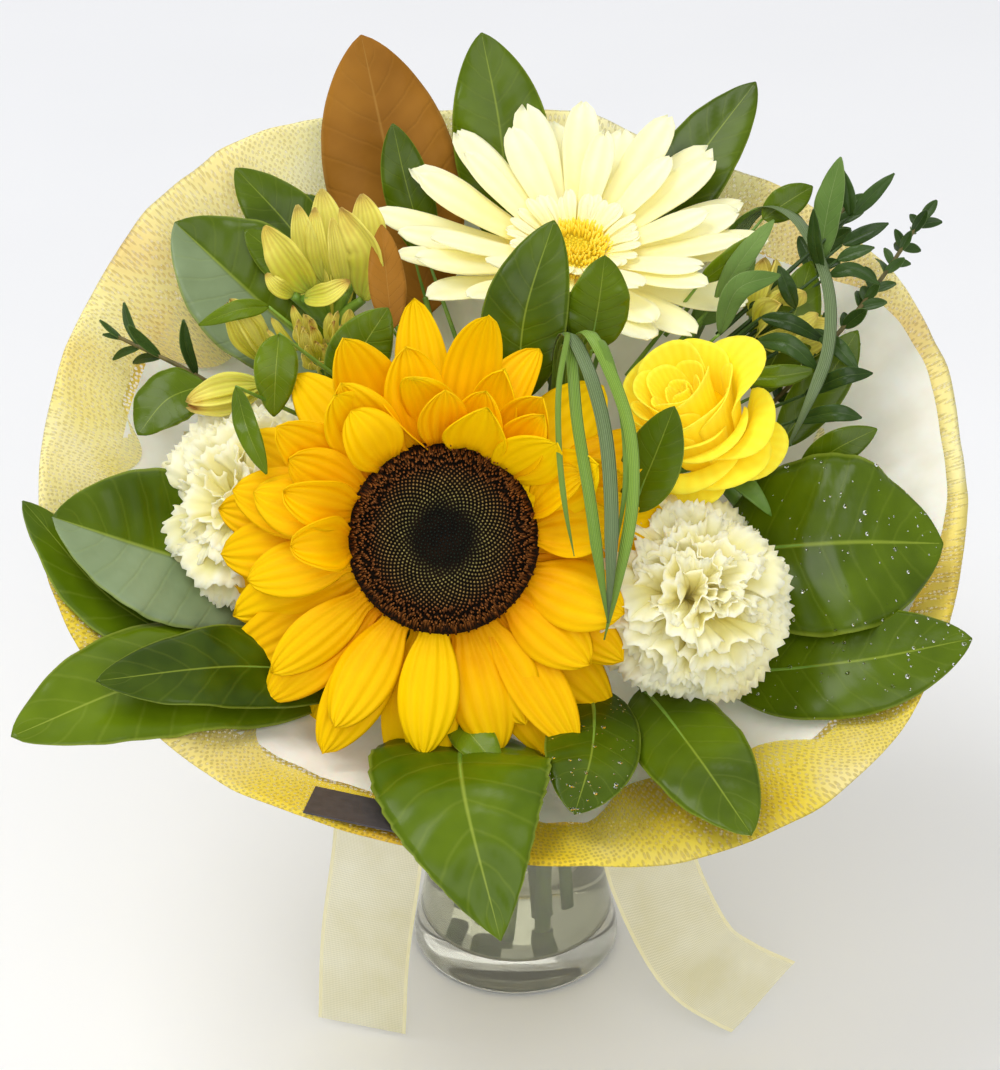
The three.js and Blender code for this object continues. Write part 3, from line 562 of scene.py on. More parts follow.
def petal_finish(name, stops, shade, tint, ribs, relief=0.00025, soft=0.12, groove=0.2, glow=0.06,
                 variety=0.45):
    """A petal: coloured from root to tip, ribbed along, each petal a little darker or lighter.

    Its faint emission stands for the light that comes through a thin petal.
    """
    tree, sockets = material(name, {
        "Roughness": 0.5, "Subsurface Weight": soft, "Subsurface Radius": (1, 0.7, 0.3),
        "Subsurface Scale": 0.003, "Specular IOR Level": 0.06, "Emission Strength": glow})
    drift = effect(tree, "mottle", Scale=110.0)["Value"]
    place = plus(tree, split(tree, uv_map(tree))[1], times(tree, minus(tree, drift, 0.5), 0.2))
    height = effect(tree, "ribs", Count=ribs)["Height"]
    # the grooves take the shade colour: painted crease shade on the sunflower and the rose, own streaks on the
    # alstroemeria and the gerbera
    colour = mixed(tree, times(tree, height, groove), ramp(tree, place, stops), linear(shade))
    colour = mixed(tree, times(tree, tone_of(tree), variety), colour, linear(tint))
    feed(tree, sockets["Base Color"], colour)
    feed(tree, sockets["Emission Color"], colour)
    bump(tree, sockets, height, 0.7, relief)


def leaf_finish(name, dark, light, rib, coat, roughness, vein_share, veins=9, bloom=0.0):
    """A leaf with its veins; bloom is how far a painted glare in pale grey-green covers one of its halves."""
    tree, sockets = material(name, {"Coat Weight": coat, "Coat Roughness": 0.24, "Specular IOR Level": 0.04})
    cloud = effect(tree, "mottle", Scale=38.0)["Value"]
    spread = plus(tree, times(tree, cloud, 0.55), times(tree, tone_of(tree), 0.5))
    colour = ramp(tree, spread, [(0, dark), (1, light)])
    # painted reflection: one half of the blade is mixed with pale grey-green where a lamp's glare would lie
    if bloom:
        half = ranged(tree, split(tree, uv_map(tree))[0], 0.51, 0.47)
        painted_glare_share = times(tree, half, maths(tree, "MULTIPLY_ADD", cloud, 0.3, bloom))
        colour = mixed(tree, painted_glare_share, colour, linear(0x8C9E7A))
    masks = effect(tree, "veins", Count=veins)
    for mask, share in (("Veins", vein_share), ("Midrib", 0.5), ("Edge", 0.45)):
        colour = mixed(tree, times(tree, masks[mask], share), colour, linear(rib))
    feed(tree, sockets["Base Color"], colour)
    lines = maths(tree, "MAXIMUM", masks["Veins"], masks["Midrib"])
    bump(tree, sockets, minus(tree, times(tree, cloud, 0.25), times(tree, lines, 0.6)), 0.6, 0.0003)
    feed(tree, sockets["Roughness"], maths(tree, "MULTIPLY_ADD", cloud, 0.12, roughness))


def blade_finish(name, dark, light):
    """A narrow ribbed blade, paler along its ribs."""
    tree, sockets = material(name, {"Roughness": 0.42, "Coat Weight": 0.2, "Coat Roughness": 0.3})
    height = effect(tree, "ribs", Count=7, Waver=0.0)["Height"]
    value = plus(tree, times(tree, height, 0.35), times(tree, tone_of(tree), 0.6))
    feed(tree, sockets["Base Color"], ramp(tree, value, [(0, dark), (1, light)]))
    bump(tree, sockets, height, 0.8, 0.0003)


def seed_finish():
    """The disc's florets: u runs from the middle to the rim, v from a floret's foot to its tip."""
    tree, sockets = material("florets", {"Roughness": 0.75, "Specular IOR Level": 0.12})
    from_middle, from_foot, _ = split(tree, uv_map(tree))
    foot = ramp(tree, from_middle, [(0, 0x070B0D), (0.34, 0x0E1009), (0.5, 0x261F0F), (0.74, 0x30190C),
                                    (1, 0x3A1D0C)])
    tip = ramp(tree, from_middle, [(0, 0x1A2624), (0.28, 0x262E1E), (0.42, 0xA69C5C), (0.6, 0xA88C50),
                                   (0.74, 0x9A6030), (1, 0x9C6026)])
    share = times(tree, maths(tree, "POWER", from_foot, 1.6),
                  maths(tree, "MULTIPLY_ADD", tone_of(tree), 0.7, 0.45))
    feed(tree, sockets["Base Color"], mixed(tree, share, foot, tip))


def net_finish():
    """Yellow netting, see-through between its threads, with painted shade towards the front, paler at its rim
    behind.
    """
    tree, sockets = material("netting", {"Roughness": 0.6, "Specular IOR Level": 0.3})
    cloud = effect(tree, "mottle", Scale=13.0)["Value"]
    colour = ramp(tree, cloud, [(0, 0xE0AE08), (0.35, 0xF2D41E), (0.62, 0xF8E65C), (1, 0xFCF3B4)])
    where = uv_map(tree)
    away = node(tree, "VectorMath", {0: where}, operation="LENGTH").outputs["Value"]
    behind = ranged(tree, split(tree, where)[1], -0.9, 0.9)
    # painted shade: towards the front the yellow is mixed with olive
    colour = mixed(tree, times(tree, minus(tree, 1.0, behind), 0.42), colour, linear(0xD0B22C))
    pale_rim = times(tree, ranged(tree, away, 1.55, 1.85), behind)
    pale_rim = times(tree, pale_rim, maths(tree, "MULTIPLY_ADD", cloud, 0.5, 0.35))
    feed(tree, sockets["Base Color"], mixed(tree, pale_rim, colour, linear(0xFDF8CC)))
    cell = settings().cell * MM / DECIMETRE
    mask = effect(tree, "net", Cell=cell, Thread=settings().thread)["Mask"]
    feed(tree, sockets["Alpha"], maths(tree, "MULTIPLY_ADD", mask, 0.44, 0.52))


def ribbon_finish():
    """Sheer ribbon, closely woven along its two edges."""
    tree, sockets = material("ribbon", {"Roughness": 0.42, "Sheen Weight": 0.2, "Specular IOR Level": 0.4})
    across, lengthwise, _ = split(tree, uv_map(tree))
    edge = ranged(tree, maths(tree, "ABSOLUTE", minus(tree, across, 0.5)), 0.44, 0.465)
    weave = plus(tree, *(maths(tree, "PINGPONG", times(tree, way, threads), 0.5)
                         for way, threads in ((lengthwise, 260.0), (across, 60.0))))
    cloud = effect(tree, "mottle", Scale=45.0)["Value"]
    colour = ramp(tree, cloud, [(0, 0xE2DAA0), (1, 0xF2EEC8)])
    feed(tree, sockets["Base Color"], mixed(tree, times(tree, edge, 0.5), colour, linear(0xF7EFBE)))
    sheer = maths(tree, "MULTIPLY_ADD", weave, 0.3, 0.45)
    feed(tree, sockets["Alpha"], maths(tree, "MAXIMUM", sheer, times(tree, edge, 0.85)))
    bump(tree, sockets, weave, 0.4, 0.0002)


def clear_finish(name, colour, ior, clearness):
    material(name, {"Base Color": linear(colour), "Roughness": 0.0, "IOR": ior, "Metallic": 0.0,
                    "Transmission Weight": clearness})


def make_materials():
    # the liner's faint emission is painted light: it glows a little to brighten it where the flowers shade it
    plain_finish("liner", 0xEFEBDA, 0xFBF9EE, 60.0, {"Roughness": 0.85, "Subsurface Weight": 0.2,
                                                     "Subsurface Scale": 0.002, "Emission Strength": 0.05,
                                                     "Emission Color": linear(0xFFFBEC)}, 0.0002)
    plain_finish("card", 0x403C3E, 0x4C4749, 300.0, {"Roughness": 0.5, "Specular IOR Level": 0.35}, 0.00005)
    plain_finish("binding", 0x7E8C49, 0xA4AE6C, 160.0, {"Roughness": 0.8}, 0.0003)
    plain_finish("stem", 0x4E7A1C, 0x8BAF3E, 70.0, {"Roughness": 0.5, "Coat Weight": 0.15}, 0.0004)
    plain_finish("cup", 0x3A6214, 0x6E942C, 90.0, {"Roughness": 0.5}, 0.0004)
    plain_finish("twig", 0x4A4A22, 0x7A6A38, 160.0, {"Roughness": 0.6}, 0.0003)
    plain_finish("disc_floor", 0x100C08, 0x20150B, 260.0, {"Roughness": 0.9, "Specular IOR Level": 0.1}, 0.0003)
    plain_finish("floor", 0xF2F3F6, 0xF6F7FA, 3.0, {"Roughness": 0.9})
    net_finish()
    ribbon_finish()
    seed_finish()
    clear_finish("glass", 0xEFEEDF, 1.48, 0.9)
    clear_finish("water", 0xF3F5EA, 1.33, 0.93)
    clear_finish("droplet", 0xFFFFFF, 1.33, 1.0)
    # name, colours from root to tip, colour of the grooves, colour that the tone adds
    # the groove colours of the sunflower and the rose are painted crease shade
    petal_finish("sunflower_petal", [(0, 0xCA6800), (0.14, 0xDF8500), (0.34, 0xF0A800), (0.7, 0xF6BA00),
                                     (1, 0xFAC506)], 0xE09000, 0xFDD400, 5, 0.0006, groove=0.3, variety=0.75)
    petal_finish("gerbera_petal", [(0, 0xEFCB30), (0.16, 0xF6E06A), (0.4, 0xFAF0A6), (1, 0xFDFAD0)], 0xF6E998,
                 0xFFFBD0, 2, 0.0003, soft=0.3, groove=0.36, glow=0.08)
    petal_finish("gerbera_eye", [(0, 0xC9B42A), (0.5, 0xF4D42E), (1, 0xFDEA68)], 0xEECA28, 0xFBDC40, 2,
                 glow=0.15)
    petal_finish("rose_petal", [(0, 0xF0C400), (0.45, 0xFBE116), (1, 0xFEEC48)], 0xF2CC08, 0xFDE736, 10, 0.0002,
                 soft=0.35, groove=0.25, glow=0.13)
    petal_finish("carnation_petal", [(0, 0xD4BC34), (0.45, 0xEDDE7C), (0.75, 0xF6EDA2), (1, 0xFEFAD8)],
                 0xEEE088, 0xFCF6C8, 8, 0.0002, soft=0.3, glow=0.04)
    petal_finish("alstroemeria_petal", [(0, 0x93AC30), (0.3, 0xC9C832), (0.78, 0xEFE468), (0.93, 0xDDBE54),
                                        (1, 0x9C6A34)], 0xA98436, 0xF1E880, 6, soft=0.2, groove=0.34, glow=0.08)
    # name, dark and light colour, colour of the veins, coat, roughness, how far the side veins show
    leaf_finish("leaf_dark", 0x304402, 0x627A06, 0x9DAE3C, 0.34, 0.34, 0.07)
    # dark leaf with a painted glare on one half
    leaf_finish("leaf_bloom", 0x304402, 0x627A06, 0x9DAE3C, 0.34, 0.34, 0.07, bloom=0.6)
    leaf_finish("leaf_fresh", 0x3E5604, 0x6E860A, 0xA9B848, 0.3, 0.36, 0.1)
    leaf_finish("leaf_under", 0x6A8434, 0x93A858, 0xBACB84, 0.0, 0.6, 0.2)
    leaf_finish("leaf_bronze", 0x8A5A1C, 0xB07A2E, 0xB98A43, 0.05, 0.62, 0.06)
    leaf_finish("leaf_grey", 0x4A6A2C, 0x7C9852, 0xA0B474, 0.0, 0.7, 0.12)
    leaf_finish("leaf_box", 0x1E330C, 0x46622A, 0x6E8A40, 0.35, 0.4, 0.03, veins=7)
    blade_finish("grass_fresh", 0x3A6410, 0x93B83E)
    blade_finish("grass_blue", 0x46602C, 0x94A872)


# --- Petals and blades -----------------------------------------------------------------------

def petal(across, lengthwise, length, width, outline, bend, cup, rib=0.0, ribs=5, wave=0.0,
          waves=2.0, phase=0.0, notch=0.0):
    """A petal that leaves the origin along +X and faces +Z.

    outline gives its half width at v, as a share. bend lists its slopes in radians from root to tip, cup
    the angle its edges turn up by at the root and at the tip, rib and wave the heights of its lengthwise
    ribs and of its waves, and notch how deep its tip is cut in, as a share of its length.
    """
    u, v, faces = grid(across, lengthwise)
    x = 2 * u - 1
    steps = 80
    fine = np.linspace(0, 1, steps + 1)
    slope = np.interp(fine, np.linspace(0, 1, len(bend)), bend)
    step = length / steps
    run = np.concatenate([[0], np.cumsum(np.cos(slope[:-1]) * step)])
    rise = np.concatenate([[0], np.cumsum(np.sin(slope[:-1]) * step)])
    reach = v * (1 - notch * (1 - np.abs(x)) ** 2 * v ** 4)
    half = width / 2 * outline(v)
    turn = cup[0] + (cup[1] - cup[0]) * v
    turn = np.where(np.abs(turn) < 1e-3, 1e-3, turn)
    sideways = half * np.sin(turn * x) / turn
    up = half * (1 - np.cos(turn * x)) / turn
    up = up + rib * np.cos(ribs * math.pi * x) * np.sin(math.pi * np.clip(v, 0, 1)) ** 0.6
    up = up + wave * np.sin(waves * TAU * v + phase + 1.6 * x) * x * v
    angle = np.interp(reach, fine, slope)
    places = np.column_stack([np.interp(reach, fine, run) - up * np.sin(angle), -sideways,
                              np.interp(reach, fine, rise) + up * np.cos(angle)])
    return part(places, faces, u, v)


def pointed(v, belly=0.5, root=0.28, blunt=0.72):
    """The half width of an ovate petal with a pointed tip, blunter for a smaller `blunt`."""
    full = np.clip(np.sin(math.pi * np.clip(v, 0, 1) ** (math.log(0.5) / math.log(belly))), 0, 1) ** blunt
    return np.maximum(np.maximum(full, root * (1 - v) ** 0.4 * (v < belly)), 0.012)


def strap(v):
    """The half width of a strap petal that widens from its root to its widest place and has a round tip."""
    root, widest = 0.3, 0.68
    widening = root + (1 - root) * np.clip(v / widest, 0, 1) ** 0.9
    return widening * np.sqrt(np.clip(1 - np.clip((v - widest) / (1 - widest), 0, 1) ** 2.4, 0.02, 1))


def oval(v):
    """The half width of a box leaf or a tepal."""
    return np.maximum(np.sin(math.pi * np.clip(v, 0, 1) ** 0.85) ** 0.62, 0.06)


def moved(shape, places, tone=0.5):
    """The same part at other places."""
    return part(places, shape["faces"], shape["u"], shape["v"], tone)


def set_out(shape, head, azimuth, root, height, roll=0.0, tone=0.5):
    """A petal turned about its own length, moved out to its root and turned to its azimuth."""
    places = turned_x(shape["places"], roll) + (root, 0, height)
    return moved(shape, head.world(turned_z(places, azimuth)), tone)


def leaf_width(s):
    return 2.55 * np.clip(s, 0, 1) ** 0.62 * np.clip(1 - s, 0, 1) ** 0.75


def tapering(s):
    """The half width of a leaf that is widest near its stalk and tapers straight to its tip."""
    return 2.45 * np.clip(s, 0, 1) ** 0.48 * np.clip(1 - s, 0, 1) ** 0.95


def blade(points, start, width, facing, rng, fold=0.1, across=14, lengthwise=44, droop=0.0, teeth=0.0,
          ripple=0.03, outline=leaf_width, tone=0.5, slot=0):
    """A leaf's blade along a spline from place `start` to its end, its upper side towards `facing`.

    fold is how far its halves rise from the midrib, droop how far its edges fall again, teeth the depth of
    the cuts in its edge, and ripple the height of its waves; all four are shares of its width.
    """
    u, v, faces = grid(across, lengthwise)
    x = 2 * u - 1
    t = start + (1 - start) * v
    centre, ahead = along(points, t), heading(points, t)
    side = unit(np.cross(ahead, np.asarray(facing, float)))
    up = np.cross(side, ahead)
    half = np.maximum(width / 2 * outline(v), 0.3)
    if teeth:
        saw = (v * 17 + 0.15 * x) % 1
        half = half * (1 - teeth * saw * (np.abs(x) > 0.9) * (v > 0.08))
    phase = rng.uniform(0, TAU, 3)
    wavy = ripple * width * np.sin(TAU * (2.3 * v + 0.12 * x) + phase[0]) * np.abs(x) ** 1.5
    wavy += ripple * 0.7 * width * np.sin(TAU * 4.1 * v + phase[1]) * x * np.abs(x) ** 2
    quilt = 0.006 * width * np.cos(TAU * (9 * (v - 0.32 * np.abs(x) / 2))) * (np.abs(x) > 0.06)
    lift = fold * half * np.abs(x) ** 1.3 - droop * half * x ** 4 + (wavy + quilt) * np.sin(math.pi * v) ** 0.5
    lift -= 0.5 * np.exp(-(x / 0.08) ** 2) * (1 - v)
    places = centre + side * (half * x)[:, None] + up * lift[:, None]
    return part(places, faces, u, v, tone, slot)


# --- The operators: one for each piece or group of like pieces -------------------------------

class PosySettings(bpy.types.PropertyGroup):
    """What can be set on the posy."""
    cell: bpy.props.FloatProperty(
        name="Net cell", description="Width of one cell of the wrap's net, in millimetres", default=1.9)
    thread: bpy.props.FloatProperty(
        name="Net thread", description="Share of a cell that its thread covers", default=0.17,
        subtype="FACTOR")
    sunflower_petals: bpy.props.IntProperty(
        name="Sunflower petals", description="Petals in the sunflower's front row", default=15)
    florets: bpy.props.IntProperty(
        name="Florets", description="Florets on the sunflower's disc", default=2300)
    ruffles: bpy.props.IntProperty(
        name="Carnation petals", description="Petals in each carnation", default=92)
    droplets: bpy.props.IntProperty(
        name="Droplets", description="Water droplets on each wet leaf", default=90)
    key_power: bpy.props.FloatProperty(
        name="Key light", description="Power of the main lamp", default=19.5, unit="POWER")


def settings():
    return bpy.context.scene.posy


def wanted(pieces):
    """Raises if a piece came out empty."""
    for piece in pieces:
        if not len(piece.data.polygons):
            raise RuntimeError(f"{piece.name} has no faces")
    return {"FINISHED"}


KNOT = (1, -24.8, 151.5)  # its middle
# tail: its way, the directions that its front faces on the way, seed, slant of its end
RIBBON_TAILS = {
    "left": ([(-3.5, -27.3, 151), (-24, -37, 152), (-41, -47, 141), (-49, -55, 108), (-51, -57, 82),
              (-56, -58, 40), (-58, -58, 1.2)],
             [(-0.1, -0.2, 1), (-0.3, -0.7, 0.7), (-0.25, -1, 0.2), (-0.25, -1, 0.2)], 3),
    "right": ([(5.5, -27.3, 151), (25, -36, 152), (41, -39, 138), (45, -38, 104), (47, -38, 78), (52, -41, 57),
               (67, -54.1, 32), (81.5, -54.1, 19), (98, -56, 11)],
              [(0.1, -0.2, 1), (0.2, -0.4, 0.9), (0.25, -0.75, 0.6), (0.25, -1, 0.2), (0.2, -1, 0.2),
               (0.1, -0.95, 0.35), (0, -0.85, 0.55), (0, -0.75, 0.66), (0, -0.7, 0.72)], 4, 0.085),
}


class POSY_OT_vase(bpy.types.Operator):
    """Turn the glass vase and the water in it"""
    bl_idname = "posy.vase"
    bl_label = "Vase and water"

    def execute(self, context):
        sides = 112
        under, floor = [(0, 0.9), (30, 0.9), (35, 0)], [(14, 10.4), (0, 10)]
        vase = spun("vase_look", under + rounded(VASE_OUTER + VASE_INNER, 2) + floor, "glass", sides)
        lap = 0.05  # by which the water reaches into the glass, so that no film of air is left
        fill = [(r, z + lap) for r, z in floor[::-1]]
        fill += [(r + lap, z) for r, z in rounded(VASE_INNER, 2) if z < WATER_LEVEL][::-1]
        fill += [(29.8, WATER_LEVEL + 0.6), (28.6, WATER_LEVEL), (0, WATER_LEVEL)]
        water = spun("water_look", fill, "water", sides)
        return wanted([settle(vase, "glass", "glass_vase"), settle(water, "water", "vase_water")])


def collar_frame():
    axis = unit([math.sin(COLLAR_ROLL), -math.sin(COLLAR_TILT) * math.cos(COLLAR_ROLL),
                 math.cos(COLLAR_TILT) * math.cos(COLLAR_ROLL)])
    right = unit(np.cross((0, 1, 0), axis))
    return axis, right, np.cross(axis, right)


def on_collar(angle, out, lift):
    """Places on the wrap: out runs from 0 at the neck to 1 at the rim, lift is above its surface."""
    axis, right, back = collar_frame()
    radius = COLLAR_RADIUS + 4 * np.cos(4 * (angle - 0.66))
    around = np.cos(angle)[:, None], np.sin(angle)[:, None]
    rim = COLLAR_CENTRE + (right * around[0] + back * around[1]) * radius[:, None]
    neck = np.column_stack([NECK_RADIUS * np.cos(angle), NECK_RADIUS * np.sin(angle),
                            np.full_like(angle, NECK_Z)])
    out = out[:, None]
    wave = 1.3 * np.cos(8 * angle)[:, None] * out
    high = lift[:, None] + wave - 5 * np.sin(math.pi * out)
    return neck * (1 - out) + rim * out + axis * high


PLEATS = 46
TAG_ANGLE = -1.74


def bell(x, middle, width, power=2):
    """A smooth bump of height 1 round the middle."""
    return np.exp(-((x - middle) / width) ** power)


def waved(rng, angle, wave, counts, sizes):
    """Waves round the wrap, each with a phase of its own; wave gives one wave's height at a phase."""
    shifts = rng.uniform(0, TAU, len(counts))
    return sum(size * wave(count * angle, number, shift)
               for number, (count, size, shift) in enumerate(zip(counts, sizes, shifts)))


def wrap_sheet(name, outs, lifts, finish, around, pleat_size=1.0, crumple=1.0, tuck=0.0, reach=0.0):
    """A round sheet gathered at the neck: pleats that open towards the rim, and soft creases across them.

    outs and lifts give its way from the neck to its edge. tuck is how far the edge folded back over the rim
    wanders inwards, and reach how much further the sheet comes out on the right.
    """
    rng = np.random.default_rng(5)
    u, v, faces = grid(around, len(outs) * 4)
    angle = TAU * u
    stations = np.arange(len(outs))
    place = v * (len(outs) - 1)
    out, lift = np.interp(place, stations, outs), np.interp(place, stations, lifts)
    folded = np.clip((place - (len(outs) - 4)) / 3, 0, 1) if tuck else 0 * place
    near_tag = bell(angle, TAU + TAG_ANGLE, 0.24, 4)
    ragged = 0.5 * np.sin(5 * angle + 1.2) + 0.35 * np.sin(9 * angle + 4) + 0.3 * np.sin(16 * angle + 2)
    longer = np.clip((place - len(outs) + 3) / 2, 0, 1) * reach * bell(np.cos(angle - 0.2), 1, 0.16)
    wide = 1.8 * (bell(angle, TAU - 0.12, 0.34) + bell(angle, -0.12, 0.34))
    out = out + 0.11 * longer - folded * tuck * np.maximum(0, 0.35 + ragged + wide) * (1 - 0.8 * near_tag)
    waves = waved(rng, angle, lambda turn, number, shift: np.sin(turn + shift + 5 * out),
                  (7, 11, 17, 23), (1.2, 1.0, 0.8, 0.5))
    slants = (1, -1.4, 2, -0.8)

    def crease(turn, number, shift):
        return 1 - 2 * np.abs(np.sin((turn + slants[number] * out * 6 + shift) / 2))

    creases = waved(rng, angle, crease, (13, 19, 29, 8), (0.9, 0.7, 0.5, 0.9))
    gathered = np.cos(PLEATS * angle + 2.0 * np.sin(3 * angle)) * (2.7 - 2.4 * out) * np.clip(out * 6, 0.1, 1)
    soft = np.clip(out * 1.3, 0, 1) ** 2
    raised = pleat_size * gathered + crumple * (waves + creases + 1.2 * folded * ragged) * soft
    places = on_collar(angle, out, lift + 4.5 * longer + raised * (1 - 0.85 * near_tag * soft))
    cloth_at_neck, cloth_to_rim = 20, 162
    steps = np.hypot(cloth_to_rim * np.diff(outs), np.diff(lifts))
    travelled = cloth_at_neck + np.interp(place, stations, np.concatenate([[0], np.cumsum(steps)]))
    flat = travelled * MM / DECIMETRE
    sheet = part(places, faces, flat * np.cos(angle), flat * np.sin(angle))
    return mend(assemble(name, [sheet], finish), outwards=False)


class POSY_OT_wrap(bpy.types.Operator):
    """Gather the white liner and the yellow netting round the stems and hang the bare tag"""
    bl_idname = "posy.wrap"
    bl_label = "Wrap and tag"

    def execute(self, context):
        liner = wrap_sheet("liner_look", [0, 0.15, 0.3, 0.45, 0.6, 0.72, 0.84],
                           [2.8, 3, 3.2, 3.4, 3.4, 3.4, 3.4], "liner", 320, 0.8, 0.8, reach=1.0)
        settle(liner, "liner", "wrap_liner")
        net = wrap_sheet("netting_look", [0, 0.15, 0.3, 0.45, 0.6, 0.75, 0.9, 0.98, 1.01, 1.0, 0.94, 0.86],
                         [0.6, 0.6, 0.6, 0.6, 0.6, 0.6, 0.4, -0.6, 1, 2.8, 3.6, 4.2], "netting", 400, tuck=0.16)
        settle(net, "netting", "wrap_netting")
        bpy.ops.object.select_all(action="DESELECT")
        bpy.ops.mesh.primitive_cube_add(size=1)
        tag = bpy.context.active_object
        tag.name = "tag_look"
        # the cube is fitted to the CAD tag, along the axes of its corners
        corners = read(bpy.data.objects["wrap_tag"].data)
        middle = corners.mean(0)
        _, _, axes = np.linalg.svd(np.unique(np.round(corners, 7), axis=0) - middle)
        if np.linalg.det(axes) < 0:
            axes[2] *= -1
        size = np.abs((corners - middle) @ axes.T).max(0) * 2
        tag.data.vertices.foreach_set("co", ((read(tag.data) * size) @ axes + middle).ravel())
        tag.data.materials.append(MATERIALS["card"])
        return wanted([liner, net, settle(tag, "tag", "wrap_tag")])


def ribbon_tail(side_name, points, facings, seed, slant=0.0):
    """A tail of the sheer ribbon; slant is how far one corner of its end is cut back, as a share."""
    rng = np.random.default_rng(seed)
    u, v, faces = grid(16, 120)
    reach = v - slant * u * v ** 4
    centre, ahead = along(points, reach), heading(points, reach)
    side = unit(np.cross(ahead, along(facings, v)))
    up = np.cross(side, ahead)
    x = 2 * u - 1
    half = RIBBON_WIDTH / 2 * np.minimum(1, 0.2 + 2.4 * v)
    first, second = rng.uniform(0, TAU, 2)
    curl = 1.4 * np.sin(TAU * 1.4 * v + first) * x + 1.1 * np.sin(TAU * 2.2 * v + second) * (x ** 2 - 0.4)
    crease = 2.4 * np.cos(2.5 * math.pi * x) * np.clip(1 - v * 4, 0, 1)
    settled = np.clip((1 - v) * 3, 0, 1) ** 2
    places = centre + side * (half * x)[:, None] + up * (curl * settled + crease)[:, None]
    # eases what would lie below the floor up to just above it
    above = places[:, 2] - 0.4
    places[:, 2] = 0.4 + (above + np.sqrt(above ** 2 + 6)) / 2
    tail = assemble(f"ribbon_{side_name}_look", [part(places, faces, u, v)], "ribbon")
    return settle(tail, "ribbon", f"ribbon_tail_{side_name}")


class POSY_OT_ribbon(bpy.types.Operator):
    """Bind the stems and tie the sheer ribbon round the neck of the wrap"""
    bl_idname = "posy.ribbon"
    bl_label = "Tie and ribbon"

    def execute(self, context):
        ring = [(14.9, 149), (15.9, 149), (16.2, 150), (16, 152), (16.2, 154), (16, 156), (16.2, 157.4),
                (15.9, 158), (14.9, 158), (14.9, 149)]
        binding = settle(spun("binding_look", ring, "binding", 72), "binding", "stem_binding")
        u, v, faces = grid(120, 10)
        angle = TAU * u
        radius = 17.3 + 0.35 * np.sin(v * 3 * TAU + 2 * np.sin(3 * angle))
        loop = np.column_stack([radius * np.cos(angle), radius * np.sin(angle), 146 + 10 * v])
        band = assemble("ribbon_band_look", [part(loop, faces, v, u * 0.6)], "ribbon")
        band = settle(mend(thicken(band, 0.3)), "ribbon", "ribbon_band")
        wraps = []
        u, v, faces = grid(40, 8)
        angle = TAU * u
        for turn, (tilt, size) in enumerate(((0.5, 5.6), (-0.9, 5.0), (1.9, 5.3))):
            ring = np.column_stack([size * np.cos(angle), size * 0.9 * np.sin(angle), 4.2 * (v - 0.5) * 2])
            ring[:, :2] *= (1 - 0.22 * (2 * v - 1) ** 2)[:, None]
            wraps.append(part(turned_x(turned_y(ring, tilt), 1.1 * turn) + KNOT, faces, v, u * 0.2))
        knot = thicken(assemble("ribbon_knot_look", wraps, "ribbon"), 0.35)
        return wanted([binding, band, settle(knot, "ribbon", "ribbon_knot"), *(
            ribbon_tail(side, *way) for side, way in RIBBON_TAILS.items())])


GERBERA_CUP = [(0, -17), (3.2, -17), (8, -12), (11.5, -6.5), (11.2, -4.9), (0, -4.9)]
RECEPTACLE = [(0, -24.5), (6, -24.5), (10, -21.5), (24, -15), (31, -11), (33, -9), (0, -9)]
ROSE_CUP = [(0, -32.4), (2.8, -32), (6, -29), (7, -24), (8.5, -20.9), (0, -20.9)]
CARNATION_TUBE = [(0, -50.4), (2.6, -50), (5.4, -46), (6, -33), (8, -24), (9.5, -20), (0, -20)]
UMBEL_STEM = (1.8, 1.7, 1.8, 1.6)


def cup(name, head, profile, steps, bracts, thickness, finishes=("cup",), stands_for=None):
    """The green cup behind a flower with its bracts; the last of their finishes is on their underside."""
    base = spun(f"{name}_look", rounded(profile), "cup", steps, head)
    ruff = thicken(assemble(f"{name}_bracts", bracts, *finishes), thickness, len(finishes) - 1)
    return settle(joined(f"{name}_look", base, ruff), "green_cup", stands_for or name)


